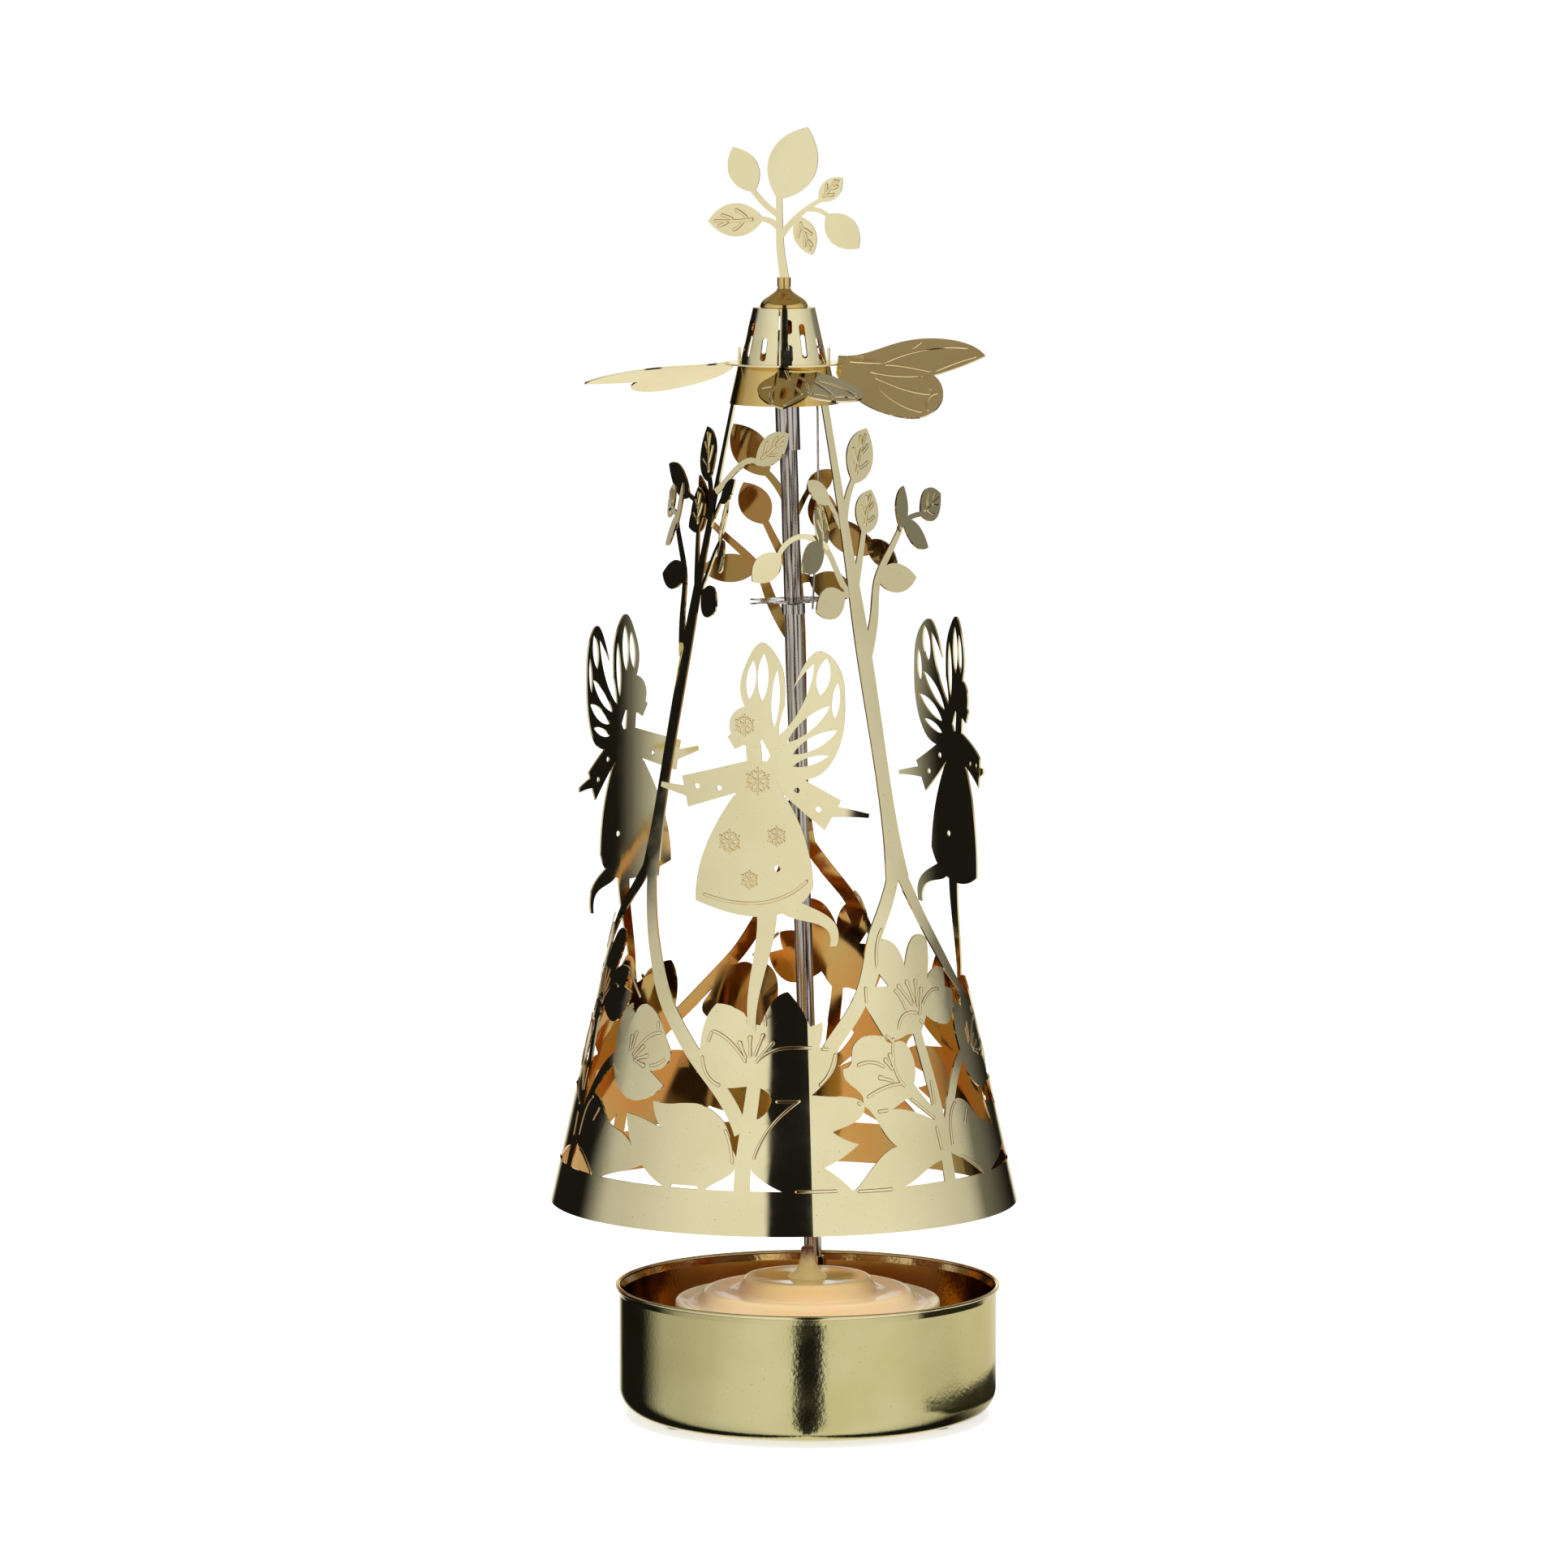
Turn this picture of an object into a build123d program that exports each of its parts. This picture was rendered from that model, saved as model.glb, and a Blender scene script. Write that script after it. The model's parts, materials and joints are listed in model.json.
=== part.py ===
from build123d import *
from math import atan2, cos, degrees, hypot, radians, sin, sqrt, tan
import os

# Candle carousel: a cup with a bare tealight, a leaning post with a needle at its top, and a cone of
# cut sheet metal that turns on the needle when warm air rises through its fan of four wings.
# Millimetres and degrees. The origin is the middle of the cup on the table, +X is right, +Y is back
# and +Z is up. An azimuth of 0 faces the front (-Y), and azimuths grow towards the right (+X).
# Heights on the cone are measured up from its hem.

# General fits and sheet
SHEET = 0.25
FIT = 0.03

# Cutting of the sheet: strips of azimuth that are cut one by one, and the smallest void that is cut
STRIP = 24
STRIP_OVERLAP = 0.3
LEAST_VOID = 0.02
OUTLINE_STEP = 1.5
MOTIF_REACH = 30

# Shares of a leaf's length between which it is widest
LEAF_BELLY = (0.25, 0.72)

# Cup
CUP_RADIUS = 26.3
CUP_WALL = 0.4
CUP_HEIGHT = 17.9
CUP_CORNER = 3.5
RIM_FLARE = 0.5
RIM_FLARE_HEIGHT = 1.2
FOOT_HEIGHT = 0.6
FOOT_RADIUS = 2.4
FOOT_ROUND = 0.4
FOOT_RING = 20.0
FOOT_AZIMUTHS = (60, 180, 300)

# Candle
WAX_RADIUS = 18.6
WAX_HEIGHT = 15.3
WAX_STEP_RADIUS = 14.0
WAX_STEP_HEIGHT = 16.7
WAX_STEP_FOOT = 1.2
WAX_LIP_RISE = 0.2
POOL_RADIUS = 7.2
POOL_SWELL = 2.0
POOL_HEIGHT = 18.6
WICK_RADIUS = 0.8
WICK_RISE = 4.2
SUSTAINER_RADIUS = 6.5
SUSTAINER_THICKNESS = 0.3
SUSTAINER_NECK = 1.5
SUSTAINER_NECK_HEIGHT = 3.0

# Spin axis and post
AXIS_X = -3.3
POST_LEAN = 1.76
SOCKET_RADIUS = 1.55
SOCKET_HEIGHT = 14.0
LOWER_RADIUS = 1.25
TUBE_WALL = 0.4
LOWER_TOP_DROP = 12.0
UPPER_RADIUS = 1.7
UPPER_TOP_DROP = 5.6
UPPER_LENGTH = 14.8
PLUG_LENGTH = 5.0
PLUG_HEAD = 0.6
NEEDLE_RADIUS = 0.45
NEEDLE_POINT = 1.6
CHIME_DROP = 41.8
CHIME_REACH = 7.0
CHIME_RING = 4.7
CHIME_RING_WIDTH = 0.55
CHIME_HUB = 2.3
CHIME_PRONGS = 6
CHIME_PRONG_WIDTH = 1.9
CHIME_PRONG_ROOT = 1.15
CHIME_THICKNESS = 0.2
CLIP_HEIGHT = 1.8
CLIP_WALL = 0.4

# Cone of the rotor
HEM_LEVEL = 26.5
HEM_RADIUS = 33.2
SLOPE = 0.225
BAND_HEIGHT = 6.1
WAIST_HEIGHT = 50.0
COLLAR_BOTTOM = 113.3
COLLAR_TOP = 118.8
CROWN_BOTTOM = 116.5
CROWN_TOP = 126.8
UNIT_AZIMUTHS = (0, 120, 240)
PANEL_START = 7

# Crown slots, repeated round the crown: azimuth, height of the middle above the hem, and length
CROWN_REPEATS = 4
CROWN_SLOTS = ((8, 124.3, 2.0), (8, 120.6, 2.4), (30, 122.3, 4.8), (60, 121.1, 3.2))
SLOT_WIDTH = 0.9
SEAM_AZIMUTH = -8
SEAM_GAP = 0.25

# Fan: azimuth, pitch and droop of each blade, and the side that its front wing is on
FAN_HUB_RADIUS = 8.3
FAN_BLADES = ((3, 4, 12, -1), (82, 45, 0, 1), (172, 30, 4, 1), (262, 15, 9, 1))
TAB_WIDTH = 1.6
TAB_HEIGHT = 2.3

# Dome, its pivot and the twig
DOME_RADIUS = 3.4
DOME_FLANGE = 0.45
DOME_HEIGHT = 2.9
DOME_SHOULDER = 0.1
DOME_NIPPLE = 0.85
DOME_SWELL = 3.23
DOME_SWELL_HEIGHT = 1.6
DOME_NECK = 0.94
DOME_NECK_HEIGHT = 1.8
PIVOT_RADIUS = 1.6
PIVOT_LENGTH = 2.2
PIVOT_MOUTH = 1.2
PIVOT_GAP = 0.05
NEEDLE_OVER_CROWN = 0.3
FERRULE_RADIUS = 0.95
FERRULE_HEIGHT = 1.3
TWIG_FACING = -14

# Fairies: azimuth of the toe and facing of the figure, which is bent about an upright axis.
# The toe is drawn at one height, and the sheet meets the cone at its seat, a little lower.
FAIRIES = ((-9, -20), (111, 111), (235, 235))
TOE_HEIGHT = 30.7
FAIRY_SEAT = 27.8
FAIRY_BEND = 50

# Striker wire: its hook in a crown slot, then its route from the spin axis, with the bend at each point
STRIKER_RADIUS = 0.15
STRIKER_AZIMUTH = 60
STRIKER_HOOK_HEIGHT = 121.4
STRIKER_STUB = 0.5
STRIKER_INSET = 0.75
STRIKER_ROUTE = ((4.7, -3.6, 139.5), (4.8, -5.2, 129.6), (4.5, -6.9, 121.0), (4.0, -7.95, 111.4))
STRIKER_BENDS = (0.6, 20, 40, 40)

# Hem: each third repeats these plates. An outline is a chain of curves from corner to corner, through
# points of (azimuth, height). Plates that reach the band end inside it.
LEAF_TWO_TIPS = (
    ((-14, 12), (-13, 8.8), (-16.5, 7.4), (-20.5, 6.0)),
    ((-20.5, 6.0), (-22, 6.0)),
    ((-22, 6.0), (-22.4, 6.5)),
    ((-22.4, 6.5), (-29.6, 6.5)),
    ((-29.6, 6.5), (-30, 6.0)),
    ((-30, 6.0), (-31.5, 6.0)),
    ((-31.5, 6.0), (-35.5, 7.1), (-39.5, 8.7)),
    ((-39.5, 8.7), (-43, 10.5)),
    ((-43, 10.5), (-46, 13), (-47.7, 15.4)),
    ((-47.7, 15.4), (-41, 14.9), (-34.7, 13.9)),
    ((-34.7, 13.9), (-37.3, 15.7), (-38.6, 17.6)),
    ((-38.6, 17.6), (-32, 17.4), (-24, 17.6), (-18, 16.2), (-14, 12)),
)
LEAF_BROAD = (
    ((-43, 10.5), (-49, 12.7), (-55, 13.7), (-61, 16.4), (-66, 16.8), (-69.6, 14.2), (-70.8, 9.8)),
    ((-70.8, 9.8), (-67.8, 9.1), (-64.5, 8.2), (-61, 7.0), (-58, 6.0)),
    ((-58, 6.0), (-54.5, 6.0)),
    ((-54.5, 6.0), (-50, 6.8), (-45, 7.6), (-39.5, 8.7)),
    ((-39.5, 8.7), (-36, 9.5)),
    ((-36, 9.5), (-38, 11.5)),
    ((-38, 11.5), (-43, 10.5)),
)
LEAF_THREE_TIPS = (
    ((-8.3, 8.8), (-5, 7.4), (0, 6.0)),
    ((0, 6.0), (17.6, 6.0)),
    ((17.6, 6.0), (14, 7.9), (10.5, 9.3)),
    ((10.5, 9.3), (15.4, 10.6), (20, 12.3)),
    ((20, 12.3), (16.3, 13.0), (13, 14.1)),
    ((13, 14.1), (18, 15.0), (22.0, 16.5), (22.4, 17.6), (20, 18.5), (13, 18.9), (4, 19.2), (-3.3, 18.6)),
    ((-3.3, 18.6), (-5.6, 16.4), (-7.4, 15.8)),
    ((-7.4, 15.8), (-9.4, 12)),
    ((-9.4, 12), (-8.3, 8.8)),
)
LEAF_SPREAD = (
    ((45.8, 9.0), (42, 8.6), (37, 7.3), (31, 6.0)),
    ((31, 6.0), (18, 6.0)),
    ((18, 6.0), (22, 8.2), (27, 10.7), (31, 11.6)),
    ((31, 11.6), (28, 13.3), (25.6, 15.5), (23.4, 17.1)),
    ((23.4, 17.1), (25.5, 17.8)),
    ((25.5, 17.8), (31, 16.7)),
    ((31, 16.7), (36, 16.3), (42, 15.2), (45.8, 14.2)),
    ((45.8, 14.2), (45.8, 9.0)),
)
FLOWER_FRONT = (
    ((-25.2, 24.8), (-25, 27.2), (-23.5, 29.8), (-21, 31.4)),
    ((-21, 31.4), (-17, 31.2), (-12, 30.2)),
    ((-12, 30.2), (-9.5, 29.0), (-7.2, 28.6)),
    ((-7.2, 28.6), (-5.5, 30.3), (-2.5, 32.4), (1.2, 33.2)),
    ((1.2, 33.2), (4.6, 31.3), (7.8, 28.4)),
    ((7.8, 28.4), (11.6, 29.0)),
    ((11.6, 29.0), (11.4, 27.4), (10.3, 25.6)),
    ((10.3, 25.6), (15.4, 25.2)),
    ((15.4, 25.2), (14.6, 22.8), (11.5, 20.8), (7, 18.9)),
    ((7, 18.9), (4, 18.4)),
    ((4, 18.4), (-3.3, 18.5)),
    ((-3.3, 18.5), (-5.6, 19.9), (-8.5, 20.3), (-12, 20.2), (-17.5, 20.1)),
    ((-17.5, 20.1), (-21.5, 21.9), (-25.2, 24.8)),
)
FLOWER_LOW = (
    ((17.0, 22.6), (19.6, 23.4), (20.2, 25.2), (23, 26.6), (27, 26.9), (30.8, 26.6)),
    ((30.8, 26.6), (33.5, 25.6), (36.5, 25.8), (39.6, 24.2), (40.4, 22), (39.2, 19.8)),
    ((39.2, 19.8), (41.5, 18.2), (46, 15.8)),
    ((46, 15.8), (45, 14.4)),
    ((45, 14.4), (40.5, 16.2), (36, 17.9)),
    ((36, 17.9), (33, 17.2), (31, 16.7)),
    ((31, 16.7), (26, 16.4), (22.0, 17.6)),
    ((22.0, 17.6), (21.8, 19.0), (18.4, 20.6), (17.0, 22.6)),
)
FLOWER_HIGH = (
    ((26.2, 30.4), (25.5, 32.5), (28.2, 34.8), (31.5, 38.3), (34.5, 39.9)),
    ((34.5, 39.9), (38.5, 39.2), (41.2, 37.6), (42.2, 35.8)),
    ((42.2, 35.8), (44.2, 37.9), (48, 39.6), (52, 39.9), (55, 38.9)),
    ((55, 38.9), (53.8, 36.2), (51.2, 33.6)),
    ((51.2, 33.6), (55.5, 34.9), (61.3, 34.8)),
    ((61.3, 34.8), (61, 33.2), (60.3, 32.2)),
    ((60.3, 32.2), (64.6, 31.7)),
    ((64.6, 31.7), (62.5, 28.8), (58, 27.2), (53, 27.6), (48.2, 28.9)),
    ((48.2, 28.9), (45.5, 27.0), (43.4, 25.8)),
    ((43.4, 25.8), (40.5, 26.6), (36, 26.1), (30.5, 26.8)),
    ((30.5, 26.8), (28.6, 28.4), (26.2, 30.4)),
)
FLOWER_SIDE = (
    ((-57.5, 22), (-58.2, 25.5), (-57, 28.8), (-53.8, 30.2)),
    ((-53.8, 30.2), (-52.5, 29.3), (-51, 28.9)),
    ((-51, 28.9), (-48.6, 30.3), (-44, 30), (-39, 27.6), (-35.6, 25)),
    ((-35.6, 25), (-35.2, 23), (-37.5, 22), (-41.3, 21.5)),
    ((-41.3, 21.5), (-38.5, 20.6), (-35.8, 19.7)),
    ((-35.8, 19.7), (-40.5, 17.9), (-46, 17.2), (-51, 17.9), (-57.5, 22)),
)
HEM_PLATES = (
    LEAF_TWO_TIPS,
    LEAF_BROAD,
    LEAF_THREE_TIPS,
    LEAF_SPREAD,
    FLOWER_FRONT,
    FLOWER_LOW,
    FLOWER_HIGH,
    FLOWER_SIDE,
)
HEM_HOLE = (
    ((29.5, 33.4), (34.6, 33.4)),
    ((34.6, 33.4), (31.5, 35.2)),
    ((31.5, 35.2), (29.5, 33.4)),
)
STEMS = (
    (((47, 5), (47, 10), (46.7, 15), (45.6, 20), (44, 24.5), (42.8, 29)), 2.3, 1.5),
    (((47.5, 10), (50, 14), (54, 18), (59, 21.2), (65, 23)), 1.7, 1.5),
    (((-10.5, 5), (-10.5, 10), (-9.6, 15), (-8.4, 20.5)), 2.4, 1.9),
)

# Legs of the trees: share of the way from the trunk's azimuth to the leg's end, and height
LEFT_LEG = (
    (0.0, 50.5), (0.12, 47), (0.3, 43), (0.43, 40), (0.53, 36),
    (0.65, 32), (0.74, 30), (0.85, 28), (1.0, 25),
)
LEFT_LEG_END = 13
RIGHT_LEG = (
    (0.0, 50.5), (0.07, 46), (0.18, 40), (0.27, 36), (0.37, 32),
    (0.51, 28), (0.66, 24), (0.82, 20), (0.97, 14),
)
RIGHT_LEG_END = 110
LEG_WIDTH = 2.1

# Trees: azimuth of the trunk at the waist and at the collar, and the side that the spray grows on
TREES = ((45.5, 49, 1), (174, 174, 1), (-58, -71, -1))
TRUNK_WIDTHS = ((48.0, 4.6), (52.5, 3.4), (60, 2.7), (82, 2.9), (90, 2.2), (100, 1.6), (114, 1.4))
TRUNK_REACH = 14

# Spray of twigs and leaves that lies flat on the trunk: across it, and along it from the spray's root
SPRAY_ROOT = 80
SPRAY_SINK = 0.1
SPRAY_STEMS = (
    (((0.2, -1.5), (1.9, 1.2), (3.4, 4.5), (4.9, 8.6), (7.9, 12.1), (11.9, 16.1)), 2.0, 0.8),
    (((0.4, 8.7), (2.2, 12.3), (4.0, 16.3)), 1.4, 0.9),
    (((0.1, 16.9), (1.6, 20.7), (4.0, 23.8)), 1.2, 0.9),
    (((0.4, 6.2), (-1.2, 7.3), (-2.8, 7.4)), 1.0, 0.8),
    (((0.4, 6.4), (-2.2, 8.8), (-3.4, 11.9), (-5.0, 14.8)), 1.1, 0.8),
    (((0.2, 15.2), (-1.0, 18.0), (-2.6, 21.1)), 0.9, 0.7),
)
SPRAY_LEAVES = (
    ((4.9, 9.2), (13.4, 8.8), 4.2),
    ((3.7, 15.6), (6.9, 21.8), 4.6),
    ((3.4, 22.8), (8.1, 30.5), 5.2),
    ((-2.2, 7.4), (-8.7, 5.3), 4.4),
    ((-2.2, 20.2), (-5.9, 23.8), 3.0),
)

# Sprigs bent out of the spray: place of the bend across the trunk, stems and leaves
OUTER_SPRIG = (
    11.7,
    ((((-0.5, 15.7), (0.4, 16.3), (3.9, 17.5), (7.6, 17.9)), 0.8, 0.7),),
    (((0.0, 15.8), (3.2, 22.0), 3.4), ((1.2, 16.9), (7.6, 13.0), 3.6), ((7.0, 17.7), (14.2, 20.7), 4.6)),
)
INNER_SPRIG = (
    -5.0,
    ((((0.8, 13.4), (0.2, 14.6), (-0.3, 15.2)), 0.8, 0.7),),
    (((0.3, 14.7), (-7.3, 11.1), 4.0), ((0.2, 14.2), (1.2, 21.2), 4.2)),
)
LOW_SPRIG = (
    -5.0,
    ((((0.6, 14.0), (0.0, 14.8), (-1.6, 15.9), (-3.5, 16.2), (-5.3, 15.6), (-7.0, 13.9)), 0.8, 0.7),),
    (((-6.6, 14.2), (-11.5, 10.9), 3.8),),
)
HIGH_SPRIG = (
    -1.0,
    ((((0.6, 21.6), (-1.2, 23.8), (-3.2, 26.1), (-4.7, 26.9), (-6.2, 26.7)), 1.0, 0.7),),
    (((-5.8, 26.5), (-10.6, 31.6), 4.2),),
)
# Sprigs of each tree, and the turn of each
TREE_SPRIGS = (
    ((OUTER_SPRIG, 14), (INNER_SPRIG, 14), (LOW_SPRIG, -25)),
    ((OUTER_SPRIG, -60), (INNER_SPRIG, 14), (LOW_SPRIG, -25)),
    ((OUTER_SPRIG, 14), (INNER_SPRIG, 14), (HIGH_SPRIG, -25)),
)

# One wing blade of the fan: distance from the spin axis, and across the blade
WING_FRONT = ((7.6, 1.4), (10.5, 1.6), (15.6, 3.8), (19.3, 4.7), (22.8, 4.6), (26.9, 3.1), (28.4, 1.6))
WING_BACK = ((28.4, 1.6), (26.0, 0.1), (21.4, -2.1))
LOBE = ((21.4, -2.1), (22.9, -4.6), (22.8, -7.5), (20.6, -9.8), (16.7, -9.7), (11.3, -6.9), (7.6, -1.8))

# Twig: base at the ferrule
TWIG_STEMS = (
    (((0, 0), (0, 1.6), (-0.4, 4.3), (-0.6, 7.1), (-0.7, 12.8)), 1.4, 0.9),
    (((-0.5, 7.0), (2.0, 9.9), (5.3, 12.2)), 0.9, 0.6),
    (((3.6, 10.9), (5.2, 10.7), (6.4, 10.0)), 0.7, 0.6),
    (((-0.6, 8.0), (-2.0, 9.2), (-3.4, 9.5)), 0.9, 0.7),
    (((-0.7, 10.0), (-2.6, 11.4), (-4.6, 13.6)), 0.9, 0.7),
)
TWIG_LEAVES = (
    ((-0.8, 12.2), (3.4, 22.4), 7.0),
    ((-4.3, 13.2), (-7.4, 19.5), 4.4),
    ((-3.0, 9.5), (-11.0, 9.1), 4.7),
    ((5.1, 12.0), (8.4, 15.4), 2.8),
    ((6.1, 10.2), (10.8, 5.5), 4.4),
    ((2.0, 10.0), (4.1, 4.5), 3.2),
)

# Fairy, seen from the front with the toe at (0, 0)
FAIRY_DRESS = (
    (-2.9, 30.0), (-6.9, 23.1), (-8.5, 17.3), (-8.6, 15.0),
    (-3.7, 13.6), (1.0, 13.2), (6.1, 14.7), (8.5, 17.6), (6.7, 26.0), (4.6, 30.0),
)
FAIRY_TORSO = ((-2.9, 29.5), (-0.9, 34.9), (2.1, 34.9), (4.6, 29.5))
FAIRY_LEFT_SLEEVE = ((-0.9, 34.9), (-10.6, 32.3), (-9.7, 28.0), (-2.4, 30.4))
FAIRY_RIGHT_SLEEVE = ((2.1, 34.9), (6.8, 32.7), (12.4, 29.7), (10.1, 25.5), (4.2, 30.4))
FAIRY_HEAD = ((-0.8, 39.7), 2.75)
FAIRY_NECK = ((-0.9, 34.4), (-1.2, 37.5), (1.0, 37.5), (1.3, 34.4))
FAIRY_NOSE = ((-2.6, 39.4), (-3.8, 38.1), (-2.7, 36.4), (-1.2, 37.2))
FAIRY_LIMBS = (
    (((-0.1, -3.6), (-0.1, 1.7), (1.2, 8.1), (1.9, 14.2)), 0.9, 2.9),
    (((4.2, 15.4), (8.0, 13.7), (10.9, 12.2), (11.3, 9.4)), 2.6, 0.9),
    (((-9.6, 30.2), (-11.6, 30.5), (-13.8, 30.9)), 1.5, 0.7),
    (((10.8, 28.2), (13.2, 28.0), (16.2, 27.6)), 1.7, 0.6),
)
LEFT_WING = ((2.6, 35.2), (-0.6, 41.0), (-1.9, 44.4), (-0.9, 48.8), (1.3, 51.4), (3.4, 49.4), (4.5, 45.2))
RIGHT_WING = (
    (1.6, 34.4), (4.6, 42.0), (6.7, 47.4), (9.4, 50.4), (11.8, 48.6), (12.9, 43.9),
    (12.5, 38.4), (10.7, 34.4), (6.6, 32.4),
)
WING_CELLS = (
    ((-0.7, 43.4), (0.0, 48.9), 1.4),
    ((1.2, 43.2), (1.5, 49.9), 1.6),
    ((2.9, 39.6), (3.4, 47.6), 1.2),
    ((3.6, 38.6), (8.6, 48.6), 2.2),
    ((9.4, 44.2), (10.4, 49.4), 1.9),
    ((11.4, 41.0), (11.9, 46.0), 1.1),
    ((4.8, 37.6), (10.8, 42.8), 1.7),
    ((5.6, 36.0), (11.8, 39.4), 1.7),
    ((5.6, 34.3), (10.6, 35.9), 1.1),
)
FAIRY_HOLES = (
    ((-8.3, 31.0), 0.35),
    ((-5.0, 30.9), 0.35),
    ((6.2, 31.0), 0.4),
    ((9.2, 28.4), 0.4),
    ((3.4, 20.0), 0.45),
)

# Derived places
CONE_SECANT = sqrt(1 + SLOPE**2)
CONE_SINE = SLOPE / CONE_SECANT
WALL = SHEET * CONE_SECANT
CUP_BASE = FOOT_HEIGHT
CUP_FLOOR = CUP_BASE + CUP_WALL
NEEDLE_TIP = HEM_LEVEL + CROWN_TOP + NEEDLE_OVER_CROWN
POST_BOTTOM = CUP_BASE + CUP_CORNER
POST_SHIFT = (NEEDLE_TIP - POST_BOTTOM) * tan(radians(POST_LEAN))
POST_RING = CUP_RADIUS - CUP_WALL - SOCKET_RADIUS - FIT
AXIS_Y = sqrt(POST_RING**2 - (AXIS_X + POST_SHIFT) ** 2)
SPIN = Location((AXIS_X, AXIS_Y, 0))
POST = Location((AXIS_X, AXIS_Y, NEEDLE_TIP), (0, -POST_LEAN, 0))
POST_FOOT_LIFT = SOCKET_RADIUS * sin(radians(POST_LEAN)) + FIT
POST_LENGTH = (NEEDLE_TIP - POST_BOTTOM) / cos(radians(POST_LEAN)) - POST_FOOT_LIFT
UNIT_TURN = 360 / len(UNIT_AZIMUTHS)
PANEL_END = PANEL_START + UNIT_TURN


def cone_radius(height):
    """Outer radius of the cone at a height above its hem."""
    return HEM_RADIUS - SLOPE * height


def crown_radius(height):
    """Outer radius of the crown, which sits inside the cone's own wall."""
    return cone_radius(height) - WALL - FIT


def radial_plane(azimuth):
    """Upright plane through the spin axis: x runs to the right seen from outside, the normal points out."""
    turn = radians(azimuth)
    return Plane((0, 0, 0), x_dir=(cos(turn), sin(turn), 0), z_dir=(sin(turn), -cos(turn), 0))


def rod(radius, height, level=0):
    """Upright cylinder that stands on a level."""
    return Pos(0, 0, level) * Cylinder(radius, height, align=(Align.CENTER, Align.CENTER, Align.MIN))


def turned(profile):
    """Solid turned about the upright axis from an outline of (radius, level) points."""
    return revolve(make_face(Plane.XZ * Polyline(*profile, close=True)), Axis.Z)


def ring(profile, turn=360, start=0):
    """Turn an outline of (radius, level) points about the spin axis, from a start azimuth."""
    face = make_face(Plane.XZ * Polyline(*profile, close=True))
    return Rot(0, 0, start - 90) * revolve(face, Axis.Z, turn)


def cone_shell(bottom, top, turn=360, start=0, radius=cone_radius):
    """Sheet of the cone between two heights."""
    low = HEM_LEVEL + bottom
    high = HEM_LEVEL + top
    outer_low = radius(bottom)
    outer_high = radius(top)
    profile = [(outer_low, low), (outer_high, high), (outer_high - WALL, high), (outer_low - WALL, low)]
    return ring(profile, turn, start)


def flat(azimuth, height):
    """A point of the cone, rolled out flat about its apex."""
    reach = cone_radius(height) / CONE_SINE
    turn = radians(azimuth) * CONE_SINE
    return Vector(reach * sin(turn), -reach * cos(turn))


def rolled(point):
    """Azimuth and height of a point of the flat sheet."""
    azimuth = degrees(atan2(point.X, -point.Y) / CONE_SINE)
    height = (HEM_RADIUS - hypot(point.X, point.Y) * CONE_SINE) / SLOPE
    return azimuth, height


def leaf(base, tip, width):
    """Leaf of two curves, with a point at both ends and its belly between two shares of its length."""
    base = Vector(*base)
    along = Vector(*tip) - base
    across = Vector(-along.Y, along.X).normalized() * (width / 1.5)
    near, far = (base + along * share for share in LEAF_BELLY)
    left = Bezier(base, near + across, far + across, base + along)
    right = Bezier(base + along, far - across, near - across, base)
    return make_face([left, right])


def ribbon(points, widths):
    """Stem along a curve, with a width at each point."""
    points = [Vector(*point) for point in points]
    last = len(points) - 1
    left = []
    right = []
    for index, point in enumerate(points):
        run = points[min(index + 1, last)] - points[max(index - 1, 0)]
        across = Vector(-run.Y, run.X).normalized() * (widths[index] / 2)
        left.append(point + across)
        right.append(point - across)
    ends = [Line(left[-1], right[-1]), Line(right[0], left[0])]
    return make_face([Spline(*left), Spline(*right[::-1])] + ends)


def stem(points, start_width, end_width):
    """Stem that tapers evenly from its first point to its last."""
    steps = len(points) - 1
    widths = [start_width + (end_width - start_width) * index / steps for index in range(steps + 1)]
    return ribbon(points, widths)


def plate(outline):
    """Flat piece inside a chain of curves; two points make a straight edge."""
    return make_face([Spline(*points) if len(points) > 2 else Line(*points) for points in outline])


def flat_sector(start, end, bottom, top):
    """Part of the flat sheet between two azimuths and two heights."""
    middle = (start + end) / 2
    low = ThreePointArc(flat(start, bottom), flat(middle, bottom), flat(end, bottom))
    high = ThreePointArc(flat(end, top), flat(middle, top), flat(start, top))
    sides = [Line(flat(end, bottom), flat(end, top)), Line(flat(start, top), flat(start, bottom))]
    return make_face([low, high] + sides)


def void_cutter(void, centre, middle):
    """Prism that cuts one void of the flat sheet out of the rolled one."""
    edges = []
    for edge in void.outer_wire().edges():
        count = int(edge.length / OUTLINE_STEP) + 4
        points = []
        for index in range(count):
            azimuth, height = rolled(edge @ (index / (count - 1)))
            side = cone_radius(height) * sin(radians(azimuth + middle - centre))
            points.append((side, HEM_LEVEL + height))
        edges.append(Spline(*points))
    return extrude(radial_plane(centre) * make_face(edges), HEM_RADIUS + SHEET)


def lattice(start, end, bottom, top, metal, middle):
    """Cone sheet between two azimuths that keeps only the metal drawn flat about the middle azimuth."""
    count = int((end - start) / STRIP) + 1
    width = (end - start) / count
    strips = []
    for index in range(count):
        left = start + index * width
        centre = left + width / 2
        reach = width / 2 + STRIP_OVERLAP
        sector = flat_sector(centre - reach - middle, centre + reach - middle, bottom - 1, top + 1)
        voids = [void for void in (Sketch() + sector - metal).faces() if void.area > LEAST_VOID]
        cutters = [void_cutter(void, centre, middle) for void in voids]
        strips += (cone_shell(bottom, top, width, left) - cutters).solids()
    return keep_largest(Part() + strips)


def keep_largest(shape):
    """The main solid, without crumbs of sheet that hang on nothing."""
    return max(shape.solids(), key=lambda solid: solid.volume)


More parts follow.
